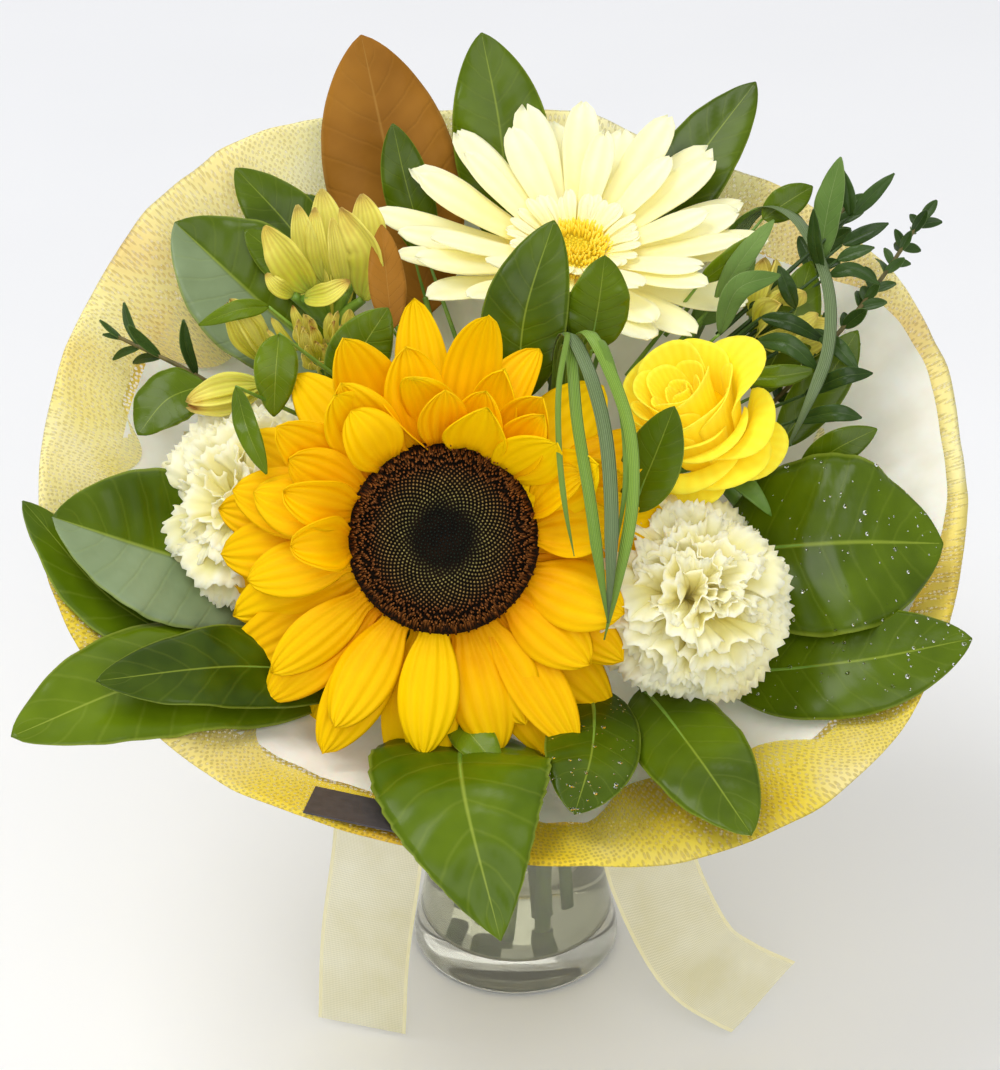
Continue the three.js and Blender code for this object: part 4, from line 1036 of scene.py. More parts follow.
class POSY_OT_stems(bpy.types.Operator):
    """Grow the stems through the tie, and the green cups behind the flowers"""
    bl_idname = "posy.stems"
    bl_label = "Stems and cups"

    def execute(self, context):
        made = []
        for name, (depth, tie, radius, bend) in HEAD_STEMS.items():
            head = Head(name)
            back = [tuple(head.world((0, 0, -d))) for d in (depth + bend, depth)]
            grown = tube(stood(tie) + back, [radius * k for k in (1, 1.02, 0.97, 1, 0.96, 1, 1.05)], 14, 90)
            stem = mend(assemble(f"{name}_stem_look", [grown], "stem"))
            made.append(settle(stem, "stem", f"{name}_stem"))
        points = stood((-6.4, 3.4), 22) + [(-34, -3, 205), (UMBEL[0], UMBEL[1], UMBEL[2] - 1)]
        stem = assemble("alstroemeria_stem_look", [tube(points, UMBEL_STEM, 12, 80)], "stem")
        made.append(settle(mend(stem), "stem", "alstroemeria_left_stem"))

        head = Head("gerbera")
        many = 26
        made.append(cup("gerbera_cup", head, GERBERA_CUP, 48, [
            set_out(petal(6, 10, 13, 3.4, pointed, (0.9, 0.3, 0.1), (0.5, 0.2)), head, TAU * i / many, 8.5,
                    -12.5)
            for i in range(many)], 0.3))

        head, rng = Head("sunflower"), np.random.default_rng(8)
        many = 34
        bracts = []
        for i in range(many):
            ring = i % 2
            shape = petal(8, 14, rng.uniform(24, 30), rng.uniform(10, 13), lambda v: pointed(v, 0.35, 0.8),
                          (0.35, -0.05, -0.5), (0.3, 0.5))
            bracts.append(set_out(shape, head, TAU * i / many, 20 + 3 * ring, -16.5 + 2 * ring,
                                  tone=rng.uniform(0, 1)))
        made.append(cup("receptacle", head, RECEPTACLE, 64, bracts, 0.5, ("leaf_fresh", "leaf_under"),
                        "sunflower_receptacle"))

        head = Head("rose")
        made.append(cup("rose_cup", head, ROSE_CUP, 32, [
            set_out(petal(6, 14, 27, 8, lambda v: pointed(v, 0.3, 0.9), (0.5, -0.6, -1.2), (0.4, 0.3)), head,
                    TAU * i / 5 + 0.3, 6.5, -25) for i in range(5)], 0.5))
        for side in ("right", "left"):
            head = Head(f"carnation_{side}")
            made.append(cup(f"carnation_{side}_tube", head, CARNATION_TUBE, 32, [
                set_out(petal(4, 8, 10, 5, pointed, (1.3, 1.0, 0.7), (0.3, 0.3)), head, TAU * i / 5, 7.6, -25)
                for i in range(5)], 0.5))
        return wanted(made)


def floret(sides, *profile):
    """A small turned spike: rings of (radius, height) and a point on top. Gives places, faces and heights."""
    angle = TAU * np.arange(sides) / sides
    rings = [np.column_stack([r * np.cos(angle), r * np.sin(angle), np.full(sides, z)])
             for r, z in profile[:-1]]
    tall = profile[-1][1]
    places = np.vstack(rings + [[(0, 0, tall)]])
    ahead = [(i + 1) % sides for i in range(sides)]
    faces = [[low + i, low + ahead[i], low + sides + ahead[i], low + sides + i]
             for low in range(0, sides * (len(rings) - 1), sides) for i in range(sides)]
    last = (len(rings) - 1) * sides
    faces += [[last + i, last + ahead[i], len(places) - 1] for i in range(sides)]
    faces.append(list(range(sides))[::-1])
    return places, faces, np.clip(places[:, 2] / tall, 0, 1)


def disc_height(r):
    return np.interp(r, [0, 9, 20, 27, 31, 32.2], [3.6, 4.4, 6.2, 5.6, 3.6, 1.6])


def painted_shade_share(azimuth):
    """Painted shade for a sunflower petal at this azimuth: a deeper amber on the left and at the lower right.
    """
    return max(0.0, math.cos(azimuth - 3.0), math.cos(azimuth + 0.8)) ** 4


def disc_floret(share, rng):
    """A floret and its lean: low in the middle of the disc, tall and leaning outwards at its rim."""
    if share < 0.4:
        return floret(5, (0.42, 0), (0.38, 0.5), (0, 0.9)), -0.25
    if share < 0.74:
        return floret(5, (0.42, 0), (0.44, 0.6), (0.26, 1.1), (0, 1.4)), 0.05
    tall = rng.uniform(2.2, 3.6) + 2.2 * max(0.0, share - 0.9) / 0.1
    shape = floret(5, (0.4, 0), (0.42, tall * 0.5), (0.26, tall * 0.85), (0, tall))
    return shape, rng.normal(0.15 + 1.3 * max(0.0, share - 0.88) / 0.12, 0.4)


def outer_petal(rng, row, azimuth, length, width):
    """A petal of one of the three rows; those above the disc are shorter, more curled and more irregular."""
    upper = max(0.0, math.sin(azimuth + 0.2)) ** 0.7
    lift = (0.34, 0.12, -0.06)[row] + rng.normal(0, 0.1) + 0.42 * upper * (2 - row) / 2
    droop = rng.uniform(0.1, 0.34) * (1 - upper)
    curl = rng.uniform(-0.4, 1.15) * upper
    bend = (lift, lift - droop * 0.9 + 0.3 * curl, lift - droop * 2.4 + curl)
    cup_by = rng.uniform(-0.7, 0.3) * (1 - upper) + rng.uniform(-0.2, 1.1) * upper
    shorter = 1 - 0.12 * upper * (row < 2)
    longer = 1 + 0.17 * max(0.0, -math.sin(azimuth))
    shape = petal(14, 20, length * rng.uniform(0.84, 1.08) * shorter * longer, width * rng.uniform(0.84, 1.16),
                  lambda v: pointed(v, 0.54, 0.5, 0.58), bend, (cup_by * 0.6, cup_by), 0.2, 3,
                  rng.uniform(0, 1.6), rng.uniform(0.6, 1.3), rng.uniform(0, TAU))
    return shape, upper


class POSY_OT_sunflower(bpy.types.Operator):
    """Set the florets on the sunflower's disc and the rows of petals round it"""
    bl_idname = "posy.sunflower"
    bl_label = "Sunflower"

    def execute(self, context):
        head, rng = Head("sunflower"), np.random.default_rng(21)
        profile = [(0, -3), (30, -3), (32, -1), (31.8, 1.4)]
        profile += [(r, disc_height(r) - 0.6) for r in (31, 29, 27, 24, 20, 16, 12, 9, 6, 3, 0)]
        disc = spun("disc_floor", profile, "disc_floor", 64, head)
        parts = []
        count, radius = settings().florets, 32.4
        for i in range(count):
            r = radius * math.sqrt((i + 0.5) / count)
            (places, faces, high), lean = disc_floret(r / radius, rng)
            places = turned_y(places, -lean) + (r, 0, float(disc_height(r)) - 0.7)
            places = head.world(turned_z(places, i * GOLDEN))
            parts.append(part(places, faces, np.full(len(high), r / radius), high, rng.uniform(0, 1)))
        florets = assemble("florets", parts, "florets")
        made = [settle(joined("disc_look", disc, florets), "seed_disc", "sunflower_disc")]

        rng = np.random.default_rng(23)
        rows = {"front": [], "back": []}
        number = settings().sunflower_petals
        # petals, distance of their roots from the axis, height of these, length, width, place of the first
        for row, (many, root, height, length, width, first) in enumerate((
                (number, 28.5, -0.6, 38, 22, 0.1), (number + 3, 28, -2.8, 45, 21.5, 0.32),
                (number + 5, 27, -5.6, 52, 21, 0.52))):
            for i in range(many):
                azimuth = TAU * (i + first) / many + rng.normal(0, 0.05)
                shape, upper = outer_petal(rng, row, azimuth, length, width)
                root_at = root + rng.normal(0, 0.6)
                roll = rng.normal(0, 0.2 + 0.1 * upper)
                # the tone of the left and lower-right petals is lowered as painted shade
                rows["front" if row == 0 else "back"].append(
                    set_out(shape, head, azimuth, root_at, height + rng.normal(0, 0.6), roll,
                            rng.uniform(0.15, 1) * (1 - 0.6 * painted_shade_share(azimuth))))
        # the curled inner petals above the disc
        for azimuth in (0.35, 0.75, 1.2, 1.75, 2.3, 2.75, 3.2):
            lift = rng.uniform(0.65, 1.05)
            shape = petal(12, 18, rng.uniform(25, 33), rng.uniform(17, 22),
                          lambda v: pointed(v, 0.55, 0.5, 0.6),
                          (lift, lift - 0.1, lift + rng.uniform(-1.2, 0.5)), (0.6, rng.uniform(0.6, 1.6)),
                          0.2, 3, rng.uniform(0, 1.2), 0.9, rng.uniform(0, TAU))
            azimuth += rng.normal(0, 0.08)
            rows["front"].append(set_out(shape, head, azimuth, 29.5, 0.2, rng.normal(0, 0.35),
                                         rng.uniform(0, 0.5)))
        for row, petals in rows.items():
            piece = thicken(assemble(f"sunflower_{row}_look", petals, "sunflower_petal"), 0.45)
            made.append(settle(piece, "sunflower_petal", f"sunflower_petals_{row}"))
        return wanted(made)


class POSY_OT_gerbera(bpy.types.Operator):
    """Set the gerbera's strap petals and its eye"""
    bl_idname = "posy.gerbera"
    bl_label = "Gerbera"

    def execute(self, context):
        head, rng = Head("gerbera"), np.random.default_rng(31)
        rows = {"long": [], "short": []}
        # row, petals, distance of their roots from the axis, height of these, length, width, bend, place of
        # the first
        for name, many, root, height, length, width, bend, first in (
                ("long", 15, 7, -3.6, 64, 15, (0.08, 0.2, 0.26), 0.0),
                ("long", 15, 7, -2.6, 60, 14.5, (0.16, 0.3, 0.36), 0.5),
                ("short", 10, 7, -1.2, 48, 12, (0.3, 0.42, 0.46), 0.2),
                ("short", 34, 9, 0.6, 17, 5, (0.55, 0.45, 0.35), 0.7)):
            for i in range(many):
                azimuth = TAU * (i + first) / many + rng.normal(0, 0.05)
                lift = rng.normal(0, 0.045)
                behind = 0.5 + 0.5 * math.sin(azimuth)
                shape = petal(10, 18, length * rng.uniform(0.9, 1.04) * (0.93 + 0.12 * behind),
                              width * rng.uniform(0.88, 1.1), strap,
                              [b + lift + rng.normal(0, 0.03) for b in bend], (0.3, rng.uniform(-0.1, 0.5)),
                              0.1, 2, rng.uniform(0, 0.8), 1.0, rng.uniform(0, TAU),
                              rng.choice((0.01, 0.02, 0.05)))
                roll = rng.normal(0, 0.09)
                rows[name].append(set_out(shape, head, azimuth, root, height + rng.normal(0, 0.25), roll,
                                          rng.uniform(0, 1)))
        made = []
        for row, petals in rows.items():
            piece = thicken(assemble(f"gerbera_{row}_look", petals, "gerbera_petal"), 0.4)
            made.append(settle(piece, "gerbera_petal", f"gerbera_petals_{row}"))
        mound = [(0, -0.6), (10.5, -0.6), (11.4, 1), (10, 3), (6, 3.6), (3, 2.4), (0, 2)]
        eye = spun("gerbera_eye_look", rounded(mound), "gerbera_eye", 40, head)
        tufts, many = [], 520
        for i in range(many):
            r = 15.5 * math.sqrt((i + 0.5) / many)
            tall = 1.2 if r < 4.5 else rng.uniform(2.2, 4.4)
            places, faces, high = floret(5, (0.5, 0), (0.46, tall * 0.6), (0.2, tall * 0.95), (0, tall))
            foot = float(np.interp(r, [0, 3, 6, 10, 13, 16], [1.8, 2, 3.3, 2.6, 0.8, -0.6]))
            places = turned_y(places, rng.normal(0.05 * r - 0.1, 0.25)) + (r, 0, foot)
            tufts.append(part(head.world(turned_z(places, i * GOLDEN)), faces, np.full(len(high), 0.5),
                              high * min(1, 0.15 + r / 8), rng.uniform(0, 1)))
        piece = joined("gerbera_eye_look", eye, assemble("tufts", tufts, "gerbera_eye"))
        made.append(settle(piece, "gerbera_eye", "gerbera_eye"))
        return wanted(made)


def rose_petal(span, inner, outer, low, high, reflex, rng):
    """A petal on a bowl: it spans an angle at radius inner to outer, and its rim rolls outwards."""
    u, v, faces = grid(18, 18)
    x = 2 * u - 1
    angle = x * span / 2 * (0.35 + 0.65 * np.clip(v * 2.2, 0, 1) ** 0.7)
    edge = 1 - 0.3 * np.abs(x) ** 3.2
    rise = v * edge
    radius = inner + (outer - inner) * rise ** 0.55
    height = low + (high - low) * rise ** 1.1
    rolled = np.clip((rise - 0.62) / 0.38, 0, 1) ** 1.8
    radius = radius + reflex * rolled * (1 + 0.25 * np.sin(3 * x + rng.uniform(0, 6)))
    height = height - 0.55 * reflex * np.clip((rise - 0.7) / 0.3, 0, 1) ** 2
    wobble = 0.5 * np.sin(5 * x + rng.uniform(0, 6)) * v ** 2
    places = np.column_stack([(radius + wobble) * np.cos(angle), (radius + wobble) * np.sin(angle), height])
    return part(places, faces[:, ::-1], u, v)


class POSY_OT_rose(bpy.types.Operator):
    """Roll the rose's heart and open its outer petals"""
    bl_idname = "posy.rose"
    bl_label = "Rose"

    def execute(self, context):
        head, rng = Head("rose"), np.random.default_rng(44)
        heart, outer = [], []
        turn = 0.4
        # petals, radius of the innermost and the outermost, span, heights of the rim, its roll outwards
        for many, near, far, span, low_rim, high_rim, reflex in (
                (4, 1.2, 4.6, 2.9, 12, 14, 0.2), (5, 4.6, 9.5, 2.3, 14, 18, 1.0),
                (4, 9.5, 14.5, 2.3, 18, 22, 2.4)):
            for i in range(many):
                reach = near + (far - near) * (0.45 + 0.55 * (i + 1) / many)
                shape = rose_petal(span, reach * 0.45, reach, -12, rng.uniform(low_rim, high_rim),
                                   reflex * rng.uniform(0.7, 1.3), rng)
                places = turned_y(shape["places"], rng.normal(0, 0.05))
                heart.append(moved(shape, head.world(turned_z(places, turn)), rng.uniform(0, 1)))
                turn += GOLDEN
        # azimuth, span, reach, height of the rim, its roll outwards
        for azimuth, span, reach, rim, reflex in (
                (130, 1.9, 17.5, 17, 2), (205, 1.8, 18, 15, 2), (60, 1.7, 19, 15, 4), (-135, 1.8, 18.5, 14, 2),
                (-60, 2.2, 17, 16, 2), (-20, 1.9, 18.5, 15, 3), (-95, 1.8, 19.5, 10, 5),
                (14, 1.7, 22, 16, 9), (-60, 1.7, 22, 8, 6), (-32, 1.6, 25, 5, 8), (-88, 1.7, 24, 1, 7),
                (-62, 1.5, 27, -4, 7), (-104, 1.3, 26, -8, 6), (-40, 1.2, 28, -9, 6)):
            shape = rose_petal(span, reach * 0.45, reach, -16, rim, reflex, rng)
            places = turned_z(turned_y(shape["places"], rng.normal(0, 0.03)), math.radians(azimuth))
            outer.append(moved(shape, head.world(places), rng.uniform(0.3, 1)))
        core = spun("rose_core", rounded([(0, -17), (9, -16), (15, -8), (13, 0), (6, 5), (0, 6)]), "rose_petal",
                    32, head)
        rolled = thicken(assemble("rose_heart_look", heart, "rose_petal"), 0.4)
        opened = thicken(assemble("rose_petals_look", outer, "rose_petal"), 0.4)
        return wanted([settle(joined("rose_heart_look", rolled, core), "rose_petal", "rose_heart"),
                       settle(opened, "rose_petal", "rose_petals")])


def ruffle(rng, reach, spread, open_out):
    """A carnation petal: a fan along +X that curves over by open_out, its rim crimped and finely toothed."""
    u, v, faces = grid(34, 10)
    x = 2 * u - 1
    fan = spread * x * (0.2 + 0.8 * v)
    teeth = 0.07 * np.abs(((x * 11 + rng.uniform(0, 1)) % 1) * 2 - 1) * (v > 0.95)
    length = reach * v * (1 - 0.14 * x ** 2 + 0.05 * np.sin(3 * x + rng.uniform(0, 6)) - teeth)
    crimp = sum(size * np.sin(count * x + rng.uniform(0, TAU))
                for count, size in ((3, 1.6), (8, 1.6), (17, 0.9)))
    curl = -open_out * np.clip((v - 0.45) / 0.55, 0, 1) ** 2
    places = np.column_stack([length * np.cos(fan), -length * np.sin(fan), crimp * v ** 2.5 + curl])
    return part(places, faces, u, v)


class POSY_OT_carnations(bpy.types.Operator):
    """Ruffle the two carnations"""
    bl_idname = "posy.carnations"
    bl_label = "Carnations"

    def execute(self, context):
        made = []
        for side, radius, depth, seed in (("right", 31, 34, 51), ("left", 34, 32, 52)):
            head, rng = Head(f"carnation_{side}"), np.random.default_rng(seed)
            parts, many = [], settings().ruffles
            for i in range(many):
                polar = math.acos(1 - 1.2 * (i + 0.5) / many)
                outside = min(1.0, polar / 1.3)
                reach = radius * (0.7 + 0.3 * math.sin(polar)) * rng.uniform(0.9, 1.1) + 4
                shape = ruffle(rng, reach, rng.uniform(0.42, 0.6) + 0.12 * outside,
                               rng.normal(2 + 5 * outside, 2.0))
                places = turned_x(shape["places"], rng.normal(0, 0.15 + 1.1 * (1 - outside)))
                places = turned_y(places, -(math.pi / 2 - polar) + rng.normal(0, 0.1))
                places = turned_z(places + (0, 0, -6), i * GOLDEN)
                places[:, 2] *= depth / radius * 0.88
                parts.append(moved(shape, head.world(places), rng.uniform(0, 1)))
            bloom = thicken(assemble(f"carnation_{side}_look", parts, "carnation_petal"), 0.25)
            made.append(settle(bloom, "carnation_petal", f"carnation_{side}_bloom"))
        return wanted(made)


def bud(base, tip, width, rng, open_by):
    """A bud of overlapping tepals from base to tip, in an outer and an inner ring."""
    base, tip = np.array(base, float), np.array(tip, float)
    ahead = unit(tip - base)
    side = unit(np.cross(ahead, (0.2, 0.95, 0.1)))
    axes = np.array([ahead, side, np.cross(ahead, side)])
    length = float(np.linalg.norm(tip - base))
    bend = (0.32 + open_by, 0.02 + open_by * 0.6, -0.34 + open_by * 1.6)
    ring = 3
    parts = []
    for k in range(2 * ring):
        inner = k >= ring
        shape = petal(8, 18, length * rng.uniform(0.95, 1.03), width * (0.85 if inner else 1.05),
                      lambda v: pointed(v, 0.52, 0.3), bend, (0.9, 1.1), 0.2, 3, 0.4)
        azimuth = TAU * k / ring + (math.pi / ring if inner else 0) + rng.normal(0, 0.1)
        local = turned_x(shape["places"] * (1, 1, -1) - (0, 0, 0.6 if inner else 1.0), azimuth)
        parts.append(moved(shape, base + local @ axes, rng.uniform(0, 1)))
    return parts


# foot, tip, width, where the stalk comes from, how far it is open
BUDS = {
    "alstroemeria_left_flower": [((-66, 8, 266), (-68, 12, 294), 13, UMBEL, 0.1)],
    "alstroemeria_left_seed_head": [((-66, -14, 258), (-66, -16, 274), 10, UMBEL, 0.0)],
    "alstroemeria_left_bud_low": [((-86, -36, 268), (-114, -38, 262), 12, UMBEL, 0.0)],
    "alstroemeria_left_bud_high": [((-88, -8, 262), (-100, -6, 284), 11, UMBEL, 0.0)],
    "alstroemeria_right_flower": [((86, 18, 256), (100, 8, 274), 15, UMBEL_RIGHT, 0.3),
                                  ((84, 26, 260), (88, 34, 280), 12, UMBEL_RIGHT, 0.15),
                                  ((90, 16, 252), (112, 14, 262), 12, UMBEL_RIGHT, 0.1)],
}
# tepals of the open flower on the left: root, middle, tip, width, facing
TEPALS = [
    ((-72, 2, 283), (-79, 0, 297), (-87, 2, 309), 14, (-0.3, -0.9, 0.3)),
    ((-70, 6, 282), (-74, 6, 301), (-76, 8, 314), 9, (0.2, -0.9, 0.3)),
    ((-66, 6, 283), (-69, 5, 300), (-70, 8, 313), 8, (-0.3, -0.9, 0.3)),
    ((-60, 4, 282), (-62, 2, 298), (-64, 4, 311), 8, (0.4, -0.9, 0.2)),
    ((-54, 2, 280), (-51, 0, 300), (-61, 4, 315), 15, (-0.6, -0.8, 0.2)),
    ((-58, 10, 282), (-52, 12, 301), (-54, 16, 314), 13, (0, -0.9, 0.4)),
    ((-74, -2, 283), (-66, -7, 287), (-58, -4, 291), 8, (0, -0.7, 0.7)),
    ((-68, 12, 282), (-66, 14, 300), (-68, 18, 315), 13, (0, -0.9, 0.4)),
    ((-78, 0, 283), (-83, -3, 288), (-87, -1, 292), 6, (0, -0.8, 0.6)),
]
# small buds below it: foot and tip
LOW_BUDS = [
    ((-76, -14, 272), (-80, -18, 284)), ((-71, -16, 272), (-73, -22, 285)), ((-66, -16, 272), (-66, -22, 283)),
    ((-61, -14, 272), (-59, -19, 285)), ((-69, -20, 268), (-70, -27, 276)), ((-62, -20, 268), (-61, -27, 277)),
    ((-57, -14, 270), (-53, -18, 280)),
]


class POSY_OT_alstroemeria(bpy.types.Operator):
    """Grow the alstroemeria's half-open flowers, buds and seed heads"""
    bl_idname = "posy.alstroemeria"
    bl_label = "Alstroemeria"

    def execute(self, context):
        rng = np.random.default_rng(61)
        finishes = ("alstroemeria_petal", "stem")
        made = []
        for name, buds in BUDS.items():
            tepals, rods = [], []
            for base, tip, width, stalk, open_by in buds:
                tepals += bud(base, tip, width, rng, open_by)
                middle = (np.array(stalk) + base) / 2 - (0, 0, 1)
                rods.append(tube([stalk, middle, base], [0.9, 0.9, 1.8], 8, 16, slot=1))
            if name == "alstroemeria_left_flower":
                for base, mid, tip, width, facing in TEPALS:
                    tepals.append(blade([base, mid, tip], 0, width, facing, rng, 0.45, 10, 22, outline=oval,
                                        tone=rng.uniform(0.2, 1)))
                    middle = (np.array(base) + (-66, 6, 268)) / 2
                    rods.append(tube([(-66, 6, 266), middle, base], [1.6, 2.2, 1.6], 8, 12, slot=1))
            if name == "alstroemeria_left_seed_head":
                for foot, tip in LOW_BUDS:
                    below = np.array(foot) - (0, 0, 2)
                    tepals += bud(below, tip, rng.uniform(4.5, 6.5), rng, rng.uniform(0.1, 0.5))
                    middle = (np.array(foot) + UMBEL) / 2
                    rods.append(tube([UMBEL, middle, foot], [0.8, 0.9, 1.6], 8, 12, slot=1))
            if name == "alstroemeria_right_flower":
                points = stood((6.4, 5.6), 20) + [(62, 14, 218), (84, 20, 250)]
                rods.append(tube(points, UMBEL_STEM, 12, 80, slot=1))
            flower = thicken(assemble(f"{name}_look", tepals, *finishes), 0.4)
            stalks = mend(assemble(f"{name}_stalks", rods, *finishes))
            made.append(settle(joined(f"{name}_look", flower, stalks), "alstroemeria_petal", name))
        return wanted(made)


# what sets a leaf apart: the finish of its upper and of its lower side, its tone and its shape
# the upper left and the broad left leaf carry a painted glare on one half
LEAF_UPPER = {
    "leaf_bronze_back": "leaf_bronze", "leaf_grey_green": "leaf_grey", "leaf_upper_left": "leaf_bloom",
    "leaf_left_broad": "leaf_bloom", "leaf_front_hanging": "leaf_fresh", "leaf_front_left_long": "leaf_fresh",
    "leaf_left_under": "leaf_fresh", "leaf_bud_side": "leaf_fresh",
}
LEAF_LOWER = {"leaf_bronze_back": "leaf_dark", "leaf_grey_green": "leaf_grey"}
LEAF_TONE = {"leaf_front_left": -0.3, "leaf_upper_left": 0.6, "leaf_front_glossy": 0.1, "leaf_centre_tall": 0.2,
             "leaf_front_hanging": 0.15, "leaf_left_under": 0.1}
LEAF_SHAPE = {"leaf_front_hanging": {"teeth": 0.03, "lengthwise": 68, "outline": tapering},
              "leaf_upper_left": {"fold": 0.34}, "leaf_left_broad": {"fold": 0.34}}
LEAF_SLOT = {"leaf_bronze_back": "leaf_bronze", "leaf_grey_green": "leaf_grey"}
SMALL_FINISHES = ("dark", "fresh", "bronze", "grey", "box")
WET = ("leaf_right_broad", "leaf_front_glossy", "leaf_right_under")
WET_PLACES = {}


class POSY_OT_leaves(bpy.types.Operator):
    """Set the large and the small leaves on their stalks"""
    bl_idname = "posy.leaves"
    bl_label = "Leaves"

    def execute(self, context):
        made = []
        for number, (name, (base, mid, tip, width, facing, ring)) in enumerate(LEAVES.items()):
            rng = np.random.default_rng(700 + number)
            points = bound(in_ring(ring)) + [base, mid, tip]
            start = 3 / 5  # of the way along the points, where the stalk ends
            tone = LEAF_TONE.get(name, rng.uniform(0.1, 0.8))
            flat = blade(points, start, width, facing, rng, tone=tone, droop=0.12,
                         ripple=rng.uniform(0.01, 0.03), **LEAF_SHAPE.get(name, {}))
            if name in WET:
                WET_PLACES[name] = flat["places"], flat["faces"]
            finishes = LEAF_UPPER.get(name, "leaf_dark"), LEAF_LOWER.get(name, "leaf_under"), "stem"
            piece = thicken(assemble(f"{name}_look", [flat], *finishes), 0.5, 1)
            stalk = tube([*points[:4], along(points, 0.62)[0]], [1.1, 1.0, 1.0, 1.2], 8, 56, slot=2)
            under = along(points, np.linspace(start, 0.97, 7)) - unit(facing)
            rib = tube(under, [1.1, 0.6, 0.25], 6, 24, slot=2)
            rods = mend(assemble(f"{name}_stalk", [stalk, rib], *finishes))
            made.append(settle(joined(f"{name}_look", piece, rods), LEAF_SLOT.get(name, "leaf_glossy"), name))
        flats, rods = [], []
        stem_slot = len(SMALL_FINISHES)
        for number, (base, mid, tip, width, facing, kind) in enumerate(SMALL_LEAVES):
            rng = np.random.default_rng(800 + number)
            slot = SMALL_FINISHES.index(kind)
            flats.append(blade([base, mid, tip], 0, width, facing, rng, across=10, lengthwise=24,
                               tone=rng.uniform(0.1, 0.9), slot=slot, droop=0.1))
            inward = np.array(base) * 0.6 + np.array((0, -10, 200)) * 0.4
            below = np.array(base) - unit(facing) * 0.6
            rods.append(tube([inward, (inward + below) / 2, below], [0.9, 0.8, 0.5], 8, 24,
                             slot=slot if kind == "box" else stem_slot))
        finishes = *(f"leaf_{kind}" for kind in SMALL_FINISHES), "stem"
        small = thicken(assemble("small_leaves", flats, *finishes), 0.4)
        stalks = mend(assemble("small_leaf_stalks", rods, *finishes))
        made.append(settle(joined("small_leaves", small, stalks), "leaf_glossy"))
        return wanted(made)


# sprig: place in the tie, way of its twig, pairs of leaves, where the first pair sits, length of a leaf and
# its width as a share of that
SPRIGS = {
    "box_sprig_back": ((10.1, 9.1), [(66, 28, 224), (100, 40, 262), (118, 62, 284)], 6, 0.72, 17, 0.4),
    "box_sprig_right": ((11.6, 1.6), [(74, 4, 218), (118, 20, 262), (147, 62, 281)], 13, 0.68, 13, 0.4),
    "box_sprig_left": ((-10, 0.8), [(-62, 6, 206), (-112, -6, 254), (-140, 4, 264)], 3, 0.8, 21, 0.2),
}


class POSY_OT_sprigs(bpy.types.Operator):
    """Set the box sprigs with their paired oval leaves"""
    bl_idname = "posy.sprigs"
    bl_label = "Box sprigs"

    def execute(self, context):
        made = []
        for number, (name, (tie, way, pairs, start, size, share)) in enumerate(SPRIGS.items()):
            rng = np.random.default_rng(900 + number)
            points = bound(tie) + way
            finishes = ("leaf_box", "leaf_under", "twig")
            leaves = []
            for i in range(pairs + 1):
                place = min(0.99, start + (1 - start) * (i / pairs) ** 0.75 + rng.normal(0, 0.004))
                base, ahead = along(points, place)[0], heading(points, place)[0]
                side = unit(np.cross(ahead, (0, -0.84, 0.55)))
                up = np.cross(side, ahead)
                for half in (0, 1):
                    angle = (0.45, 1.15)[i % 2] + math.pi * half + rng.normal(0, 0.35)
                    away = unit(ahead * (1.9 if i == pairs else 0.9) + side * math.cos(angle)
                                + up * math.sin(angle))
                    long = size * (1 - 0.35 * i / pairs) * rng.uniform(0.65, 1.15)
                    tip = base + away * long
                    middle = (base + tip) / 2 + ahead * long * 0.08
                    leaves.append(blade([base, middle, tip], 0, long * share,
                                        (rng.normal(0, 0.3), -0.75, 0.65), rng, 0.25, 8, 12, outline=oval,
                                        tone=rng.uniform(0, 1), ripple=0.0))
            flat = thicken(assemble(f"{name}_look", leaves, *finishes), 0.35, 1)
            twig = tube(points, [1.1, 1.0, 0.9, 0.7], 8, 80, slot=2)
            twig = mend(assemble(f"{name}_twig", [twig], *finishes))
            made.append(settle(joined(f"{name}_look", flat, twig), "box_leaf", name))
        return wanted(made)


# blade: its way past the tie, width, tone, finish, twist
GRASS = {
    "grass_loop_centre": ((3.4, -0.7), [
        ([(11, -40, 248), (14, -48, 290), (17, -62, 303), (23, -78, 298), (28, -92, 284), (30, -106, 266),
          (30, -115, 248), (29, -121, 228)], 4.6, 0.3, 1, 0.15),
        ([(16, -42, 248), (19, -52, 292), (23, -66, 306), (30, -79, 298), (36, -92, 284), (37, -104, 265),
          (33, -114, 243), (28, -122, 222)], 4.0, 0.9, 0, -0.2),
        ([(13, -42, 246), (15, -50, 288), (17, -66, 300), (19, -89, 286), (23, -106, 267), (26, -115, 248),
          (29, -122, 229)], 3.8, 0.7, 0, 0.1),
        ([(11, -42, 246), (13, -50, 290), (16, -64, 304), (13, -84, 296), (13, -99, 281), (15, -109, 265),
          (18, -113, 249)], 1.8, 0.95, 0, 0.0),
        ([(18, -44, 248), (22, -56, 292), (27, -70, 305), (33, -83, 291), (35, -99, 273), (31, -112, 247)],
         2.4, 0.6, 0, 0.3)]),
    "grass_loop_right": ((1.4, 10), [
        ([(58, 38, 232), (84, 62, 280), (92, 52, 290), (100.2, 40, 290.2), (108.8, 14, 279.2),
          (107.6, -10, 266.8), (100.9, -24, 255), (92.4, -32, 238.8)], 4.4, 0.3, 1, 0.3),
        ([(56, 40, 232), (78, 62, 276), (89, 57, 287), (98, 56, 286), (106, 52, 277), (110, 40, 268)],
         2.0, 0.6, 0, 0.0)]),
}


